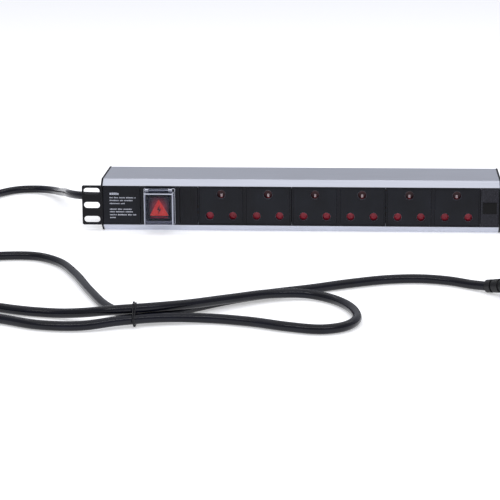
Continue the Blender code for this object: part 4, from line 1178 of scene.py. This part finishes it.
def makeShutter(number):
    s = shutterShape
    node = f"shutter_{number}"
    low, high = boxMm(node)
    front, back, top = low[1], high[1], high[2]
    x = middleMm(f"socket_face_{number}")[0]
    arm, left, right = x + s["springX"] + s["armPast"], x - s["stem"], x + s["stem"]
    outline = filleted([
        (low[0], s["barLow"]), (high[0], s["barLow"]), (high[0], s["barHigh"]), (right, s["barHigh"]),
        (right, s["armLow"]), (arm, s["armLow"]), (arm, s["armHigh"]), (right, s["armHigh"]),
        (right, top - 1.5),
        (x + 1, top), (x - 1, top), (left, top - 1.5), (left, s["barHigh"]), (low[0], s["barHigh"]),
    ], 0.5, 3)
    bm = bmesh.new()
    addPlate(bm, [outline], "XZ", front, back, s["edge"])
    r = s["boss"]
    profile = [(0, 0.16), (1.6, 0.2), (r, 0.36), (r + 0.5, 0.2), (r + 0.7, -0.3), (0, -0.3)]
    for side in (-1, 1):  # a shallow dished boss behind each line hole
        centre = (x + side * socketShape["halfSpacing"], front, s["bossZ"])
        addMesh(bm, turnedMesh(profile, pointing(centre, (0, -1, 0)), 36))
    settle(meshObject(f"shutter{number}", bm, shutterRed), node, "red_shutter", node)
    web = bmesh.new()  # as wide as the earth hole in front of it; the same red moulding drawn dark maroon as painted shade inside the hole
    outline = roundedRect(x - s["webHalf"], s["armHigh"] + 0.2, x + s["webHalf"], top, 1.0)
    addPlate(web, [outline], "XZ", front - 0.02, back, 0.2)
    settle(meshObject(f"shutterWeb{number}", web, maroonMarkAndShadedRed), node, "red_shutter")
    cam = bmesh.new()  # what the earth pin pushes on, drawn near-white pink as a painted highlight
    outline = roundedRect(x - s["camHalf"], s["camLow"], x + s["camHalf"], s["camHigh"], 0.6)
    addPlate(cam, [outline], "XZ", front - 0.38, front + 0.2, 0.18)
    settle(meshObject(f"shutterCam{number}", cam, camHighlight), node, "red_shutter")


springShape = {"turns": 5.5, "radius": 1.6, "wire": 0.24, "foot": 25.0, "top": 36.7, "keep": 0.235}


def makeSpring(number):
    s = springShape
    x = middleMm(f"socket_face_{number}")[0] + shutterShape["springX"]
    y = middleMm(f"shutter_spring_{number}")[1]
    height = s["top"] - s["foot"] - 2 * s["wire"]
    spring = runTree(f"shutterSpring{number}", springNodes, {
        "Turns": s["turns"], "Radius": s["radius"] * mm, "Height": height * mm, "Wire": s["wire"] * mm,
        "Foot": (x * mm, y * mm, (s["foot"] + s["wire"]) * mm), "Finish": springSteel,
    })
    settle(spring, mainBody, "spring_steel", f"shutter_spring_{number}")
    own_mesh(spring)


makePanels()
makeLabelRows()
for number in range(1, 4):
    makeSocketFrame(number)
for number in range(1, 7):
    makeSocketFace(number)
    makeShutter(number)
    makeSpring(number)
print("panels and sockets ready")


switchShape = {
    "flangeBack": -38.0, "pocketHalf": (11.35, 13.6), "pocketBack": -24.0, "barrelHalf": (12.3, 14.7),
    "pivotY": -33.0, "tilt": 12, "rockerEdge": 0.7, "faceDeep": -6.4, "faceHalf": 11.6,
}


def makeSwitchBody():
    s = switchShape
    low, high = boxMm("switch_body")
    x, _, z = middleMm("switch_body")
    pocket = centredRect(x, z, *s["pocketHalf"], 0.8)
    barrel = centredRect(x, z, *s["barrelHalf"], 1.0)
    bm = bmesh.new()
    addPlate(bm, [boxRect(low, high, 0, 1.6), pocket], "XZ", low[1], s["flangeBack"], 0.45)
    addPlate(bm, [barrel, pocket], "XZ", s["flangeBack"] - 0.6, s["pocketBack"] + 0.5, 0.2)
    addPlate(bm, [barrel], "XZ", s["pocketBack"], high[1], 0.4)
    settle(meshObject("switchBody", bm, faceAbs), mainBody, "black_abs", "switch_body")


rockerLevel = [  # the rocker's side view about its pivot, before it tilts
    (-7.4, 11.6), (-6.7, 6), (-6.4, 0), (-6.7, -6), (-7.4, -11.6), (-6.2, -12.3), (-2.5, -12.3), (0.5, -9),
    (3.0, -3), (3.0, 3), (0.5, 9), (-2.5, 12.3), (-6.2, 12.3),
]


def settleRocker(name, bm, material, *replaced):
    # From the level position about the pivot to where the rocker rests, lower end pressed in
    x, _, z = middleMm("switch_body")
    centre = Vector((x, switchShape["pivotY"], z)) * mm
    place = Matrix.Translation(centre) @ Matrix.Rotation(radians(switchShape["tilt"]), 4, "X")
    bmesh.ops.transform(bm, matrix=place, verts=bm.verts)
    settle(meshObject(name, bm, material), "rocker", "red_rocker", *replaced)


def makeRocker():
    low, high = boxMm("rocker")
    half = (high[0] - low[0]) / 2
    bm = bmesh.new()
    addPlate(bm, [filleted(rockerLevel, 1.6, 5)], "YZ", -half, half, switchShape["rockerEdge"])
    settleRocker("rockerCap", bm, rockerRed, "rocker")


def rockerFace(z):  # how far forward the level rocker's concave face is at this height
    return switchShape["faceDeep"] - (z / switchShape["faceHalf"]) ** 2


def legendMesh(outline, proud, depth, step=0.9):
    # A flat outline cut into strips by height and laid on the rocker's curved face
    bm = bmesh.new()
    addMesh(bm, plateMesh([outline], "XZ", -proud, depth, 0.08, 1))
    bmesh.ops.remove_doubles(bm, verts=bm.verts, dist=0.000002)
    heights = [v for _, v in outline]
    height = min(heights) + step
    while height < max(heights):
        geom = list(bm.verts) + list(bm.edges) + list(bm.faces)
        bmesh.ops.bisect_plane(bm, geom=geom, plane_co=(0, 0, height * mm), plane_no=(0, 0, 1))
        height += step
    for vert in bm.verts:
        vert.co.y += rockerFace(vert.co.z / mm) * mm
    return bm


legend = {
    "triangle": [(-10.6, -9.4), (10.6, -9.4), (0, 10.4)], "bar": (-9.6, -12.2, 9.6, -11.0), "proud": 0.22,
    "bolt": [(0.9, 3.6), (-2.6, -2.9), (-0.5, -2.9), (-1.3, -7.6), (2.7, -1.2), (0.4, -1.2)],
    "boltProud": 0.34,
}


def makeLegend():  # a plain warning triangle with a bolt, and a bar under it
    triangle, bar = filleted(legend["triangle"], 1.2, 4), roundedRect(*legend["bar"], 0.4)
    settleRocker("rockerTriangle", legendMesh(triangle, legend["proud"], 0.5), legendRed)
    settleRocker("rockerBolt", legendMesh(legend["bolt"], legend["boltProud"], 0.5), maroonMarkAndShadedRed)
    settleRocker("rockerBar", legendMesh(bar, legend["proud"], 1.3), shutterRed)


cover = {
    "wall": 1.4, "round": 0.7, "top": 46.2, "leftInset": 1.6, "hingeY": -42.7, "hingeZ": 48.0, "barrel": 2.0,
    "bore": 1.1, "barrelHalf": 10.6, "lugGap": 0.4, "lug": 4.0, "lugRadius": 1.6, "frameFront": -40.3,
    "frameLeft": 1.3, "frameDrop": 0.7, "windowHalf": (14.4, 16.6),
}


def makeCover():
    low, high = boxMm("switch_cover")
    x = middleMm("switch_body")[0]
    bm = bmesh.new()
    addBox(bm, (low[0] + cover["leftInset"], low[1], low[2]), (high[0], high[1], cover["top"]))
    rear = [f for f in bm.faces if f.normal.y > 0.9]
    bmesh.ops.delete(bm, geom=rear, context="FACES_ONLY")
    shell = meshObject("coverShell", bm, clearWall, clearEdge)
    for polygon in shell.data.polygons:
        polygon.use_smooth = False
    edge = shell.modifiers.new("edge", "BEVEL")
    edge.width = cover["round"] * mm
    edge.segments = 3
    edge.material = 1
    wall = shell.modifiers.new("wall", "SOLIDIFY")
    wall.thickness = cover["wall"] * mm
    wall.offset = -1
    wall.material_offset_rim = 1
    full = bmesh.new()
    addMesh(full, evaluatedMesh(shell))
    bpy.data.objects.remove(shell)
    y, z, r, half = cover["hingeY"], cover["hingeZ"], cover["barrel"], cover["barrelHalf"]
    foot = cover["top"] - 0.3
    neck = arcPoints(y, z, r, -40, 220, 20) + [(y - r * 0.75, foot), (y + r * 0.75, foot)]
    addPlate(full, [neck, circlePoints(y, z, cover["bore"], 20)], "YZ", x - half, x + half, 0.2)
    made = meshObject("switchCover", full, clearWall, clearEdge)
    settle(made, "switch_cover", "clear_polycarbonate", "switch_cover")


def makeCoverFrame():
    low, high = boxMm("cover_frame")
    x, _, z = middleMm("switch_body")
    y, hz, r, front = cover["hingeY"], cover["hingeZ"], cover["lugRadius"], cover["frameFront"]
    bm = bmesh.new()
    outline = roundedRect(low[0] + cover["frameLeft"], low[2], high[0], high[2] - cover["frameDrop"], 1.4)
    addPlate(bm, [outline, centredRect(x, z, *cover["windowHalf"], 1.6)], "XZ", front, high[1], 0.4)
    lug = arcPoints(y, hz, r, 90, 270, 14) + [(front + 0.6, hz - r), (front + 0.6, hz + r)]
    for side in (-1, 1):
        near = x + side * (cover["barrelHalf"] + cover["lugGap"])
        ends = sorted((near, near + side * cover["lug"]))
        addPlate(bm, [lug, circlePoints(y, hz, cover["bore"], 20)], "YZ", *ends, 0.3)
    made = meshObject("coverFrame", bm, clearWall, clearEdge)
    for polygon in made.data.polygons:  # light leaves clear sheet at its rounded edges
        polygon.material_index = int(max(abs(v) for v in polygon.normal) < 0.985)
    settle(made, mainBody, "clear_polycarbonate", "cover_frame")


def makeHingePin():
    low, high = boxMm("cover_hinge_pin")
    half, r = (high[0] - low[0]) / 2, (high[2] - low[2]) / 2
    profile = [(0, half), (r * 0.6, half), (r, half - 0.4), (r, 0.4 - half), (r * 0.6, -half), (0, -half)]
    pin = turnedObject("coverHingePin", profile, (middleMm("cover_hinge_pin"), (1, 0, 0)), 24, zincPlate)
    settle(pin, mainBody, "zinc_screws", "cover_hinge_pin")


makeSwitchBody()
makeRocker()
makeLegend()
makeCover()
makeCoverFrame()
makeHingePin()
print("switch and guard ready")


gland = {"bore": 5.3, "length": 11.0, "threads": 8, "threadPitch": 1.1, "ribs": 18, "ribReach": 8.15}


def makeGland():
    low = boxMm("cable_gland")[0]
    _, y, z = middleMm("cable_gland")
    bore, end = gland["bore"], -gland["length"]
    profile = [(bore, 0.0), (8.5, 0.0), (8.9, -0.4), (8.9, -1.6), (7.8, -1.6)]
    for i in range(gland["threads"]):
        height = -2.2 - gland["threadPitch"] * i
        profile += [(7.8, height), (7.35, height - 0.55)]
    profile += [(7.5, end), (bore, end), (bore, 0.0)]
    body = turnedObject("glandBody", profile, ((low[0], y, z), (-1, 0, 0)), 48, blackNylon)
    settle(body, mainBody, "black_nylon", "cable_gland")


def makeDomeNut():
    low, high = boxMm("gland_dome_nut")
    _, y, z = middleMm("cable_gland")
    bore, deep = gland["bore"], high[0] - low[0]
    profile = [
        (bore, 0.0), (8.3, 0.0), (8.3, deep * 0.35), (8.0, deep * 0.55), (7.3, deep * 0.78),
        (6.3, deep * 0.95),
        (5.7, deep), (bore, deep), (bore, 0.0),
    ]
    bm = bmesh.new()
    addMesh(bm, turnedMesh(profile, pointing((high[0], y, z), (-1, 0, 0)), 54))
    rib = plateMesh([roundedRect(-0.45, -0.6, 0.45, 0.6, 0.3, 3)], "YZ", -1.15, 1.15, 0.2)
    places, turns = [], []
    for k in range(gland["ribs"]):
        angle = 2 * pi * k / gland["ribs"]
        across, up = gland["ribReach"] * cos(angle), gland["ribReach"] * sin(angle)
        places.append((high[0] - 1.3, y + across, z + up))
        turns.append((angle + pi / 2, 0, 0))
    addRepeated(bm, "nutRibs", rib, places, blackNylon, turns)
    settle(meshObject("glandNut", bm, blackNylon), mainBody, "black_nylon", "gland_dome_nut")


makeGland()
makeDomeNut()
print("gland ready")


insideFinish = {  # pieces that keep their CAD shape and take a real finish
    "socket_base_1": ivoryUrea, "socket_base_2": ivoryUrea, "socket_base_3": ivoryUrea,
    "terminal_block": ivoryUrea, "earth_bar": brassStrip, "live_bar": brassStrip, "neutral_bar": brassStrip,
    "switch_tab": brassStrip, "indicator_lamp": lampGlass, "gland_lock_nut": blackNylon, **wireFinish,
}
for node, material in insideFinish.items():
    cadNodes[node].data.materials.clear()
    cadNodes[node].data.materials.append(material)
print("inside pieces ready")
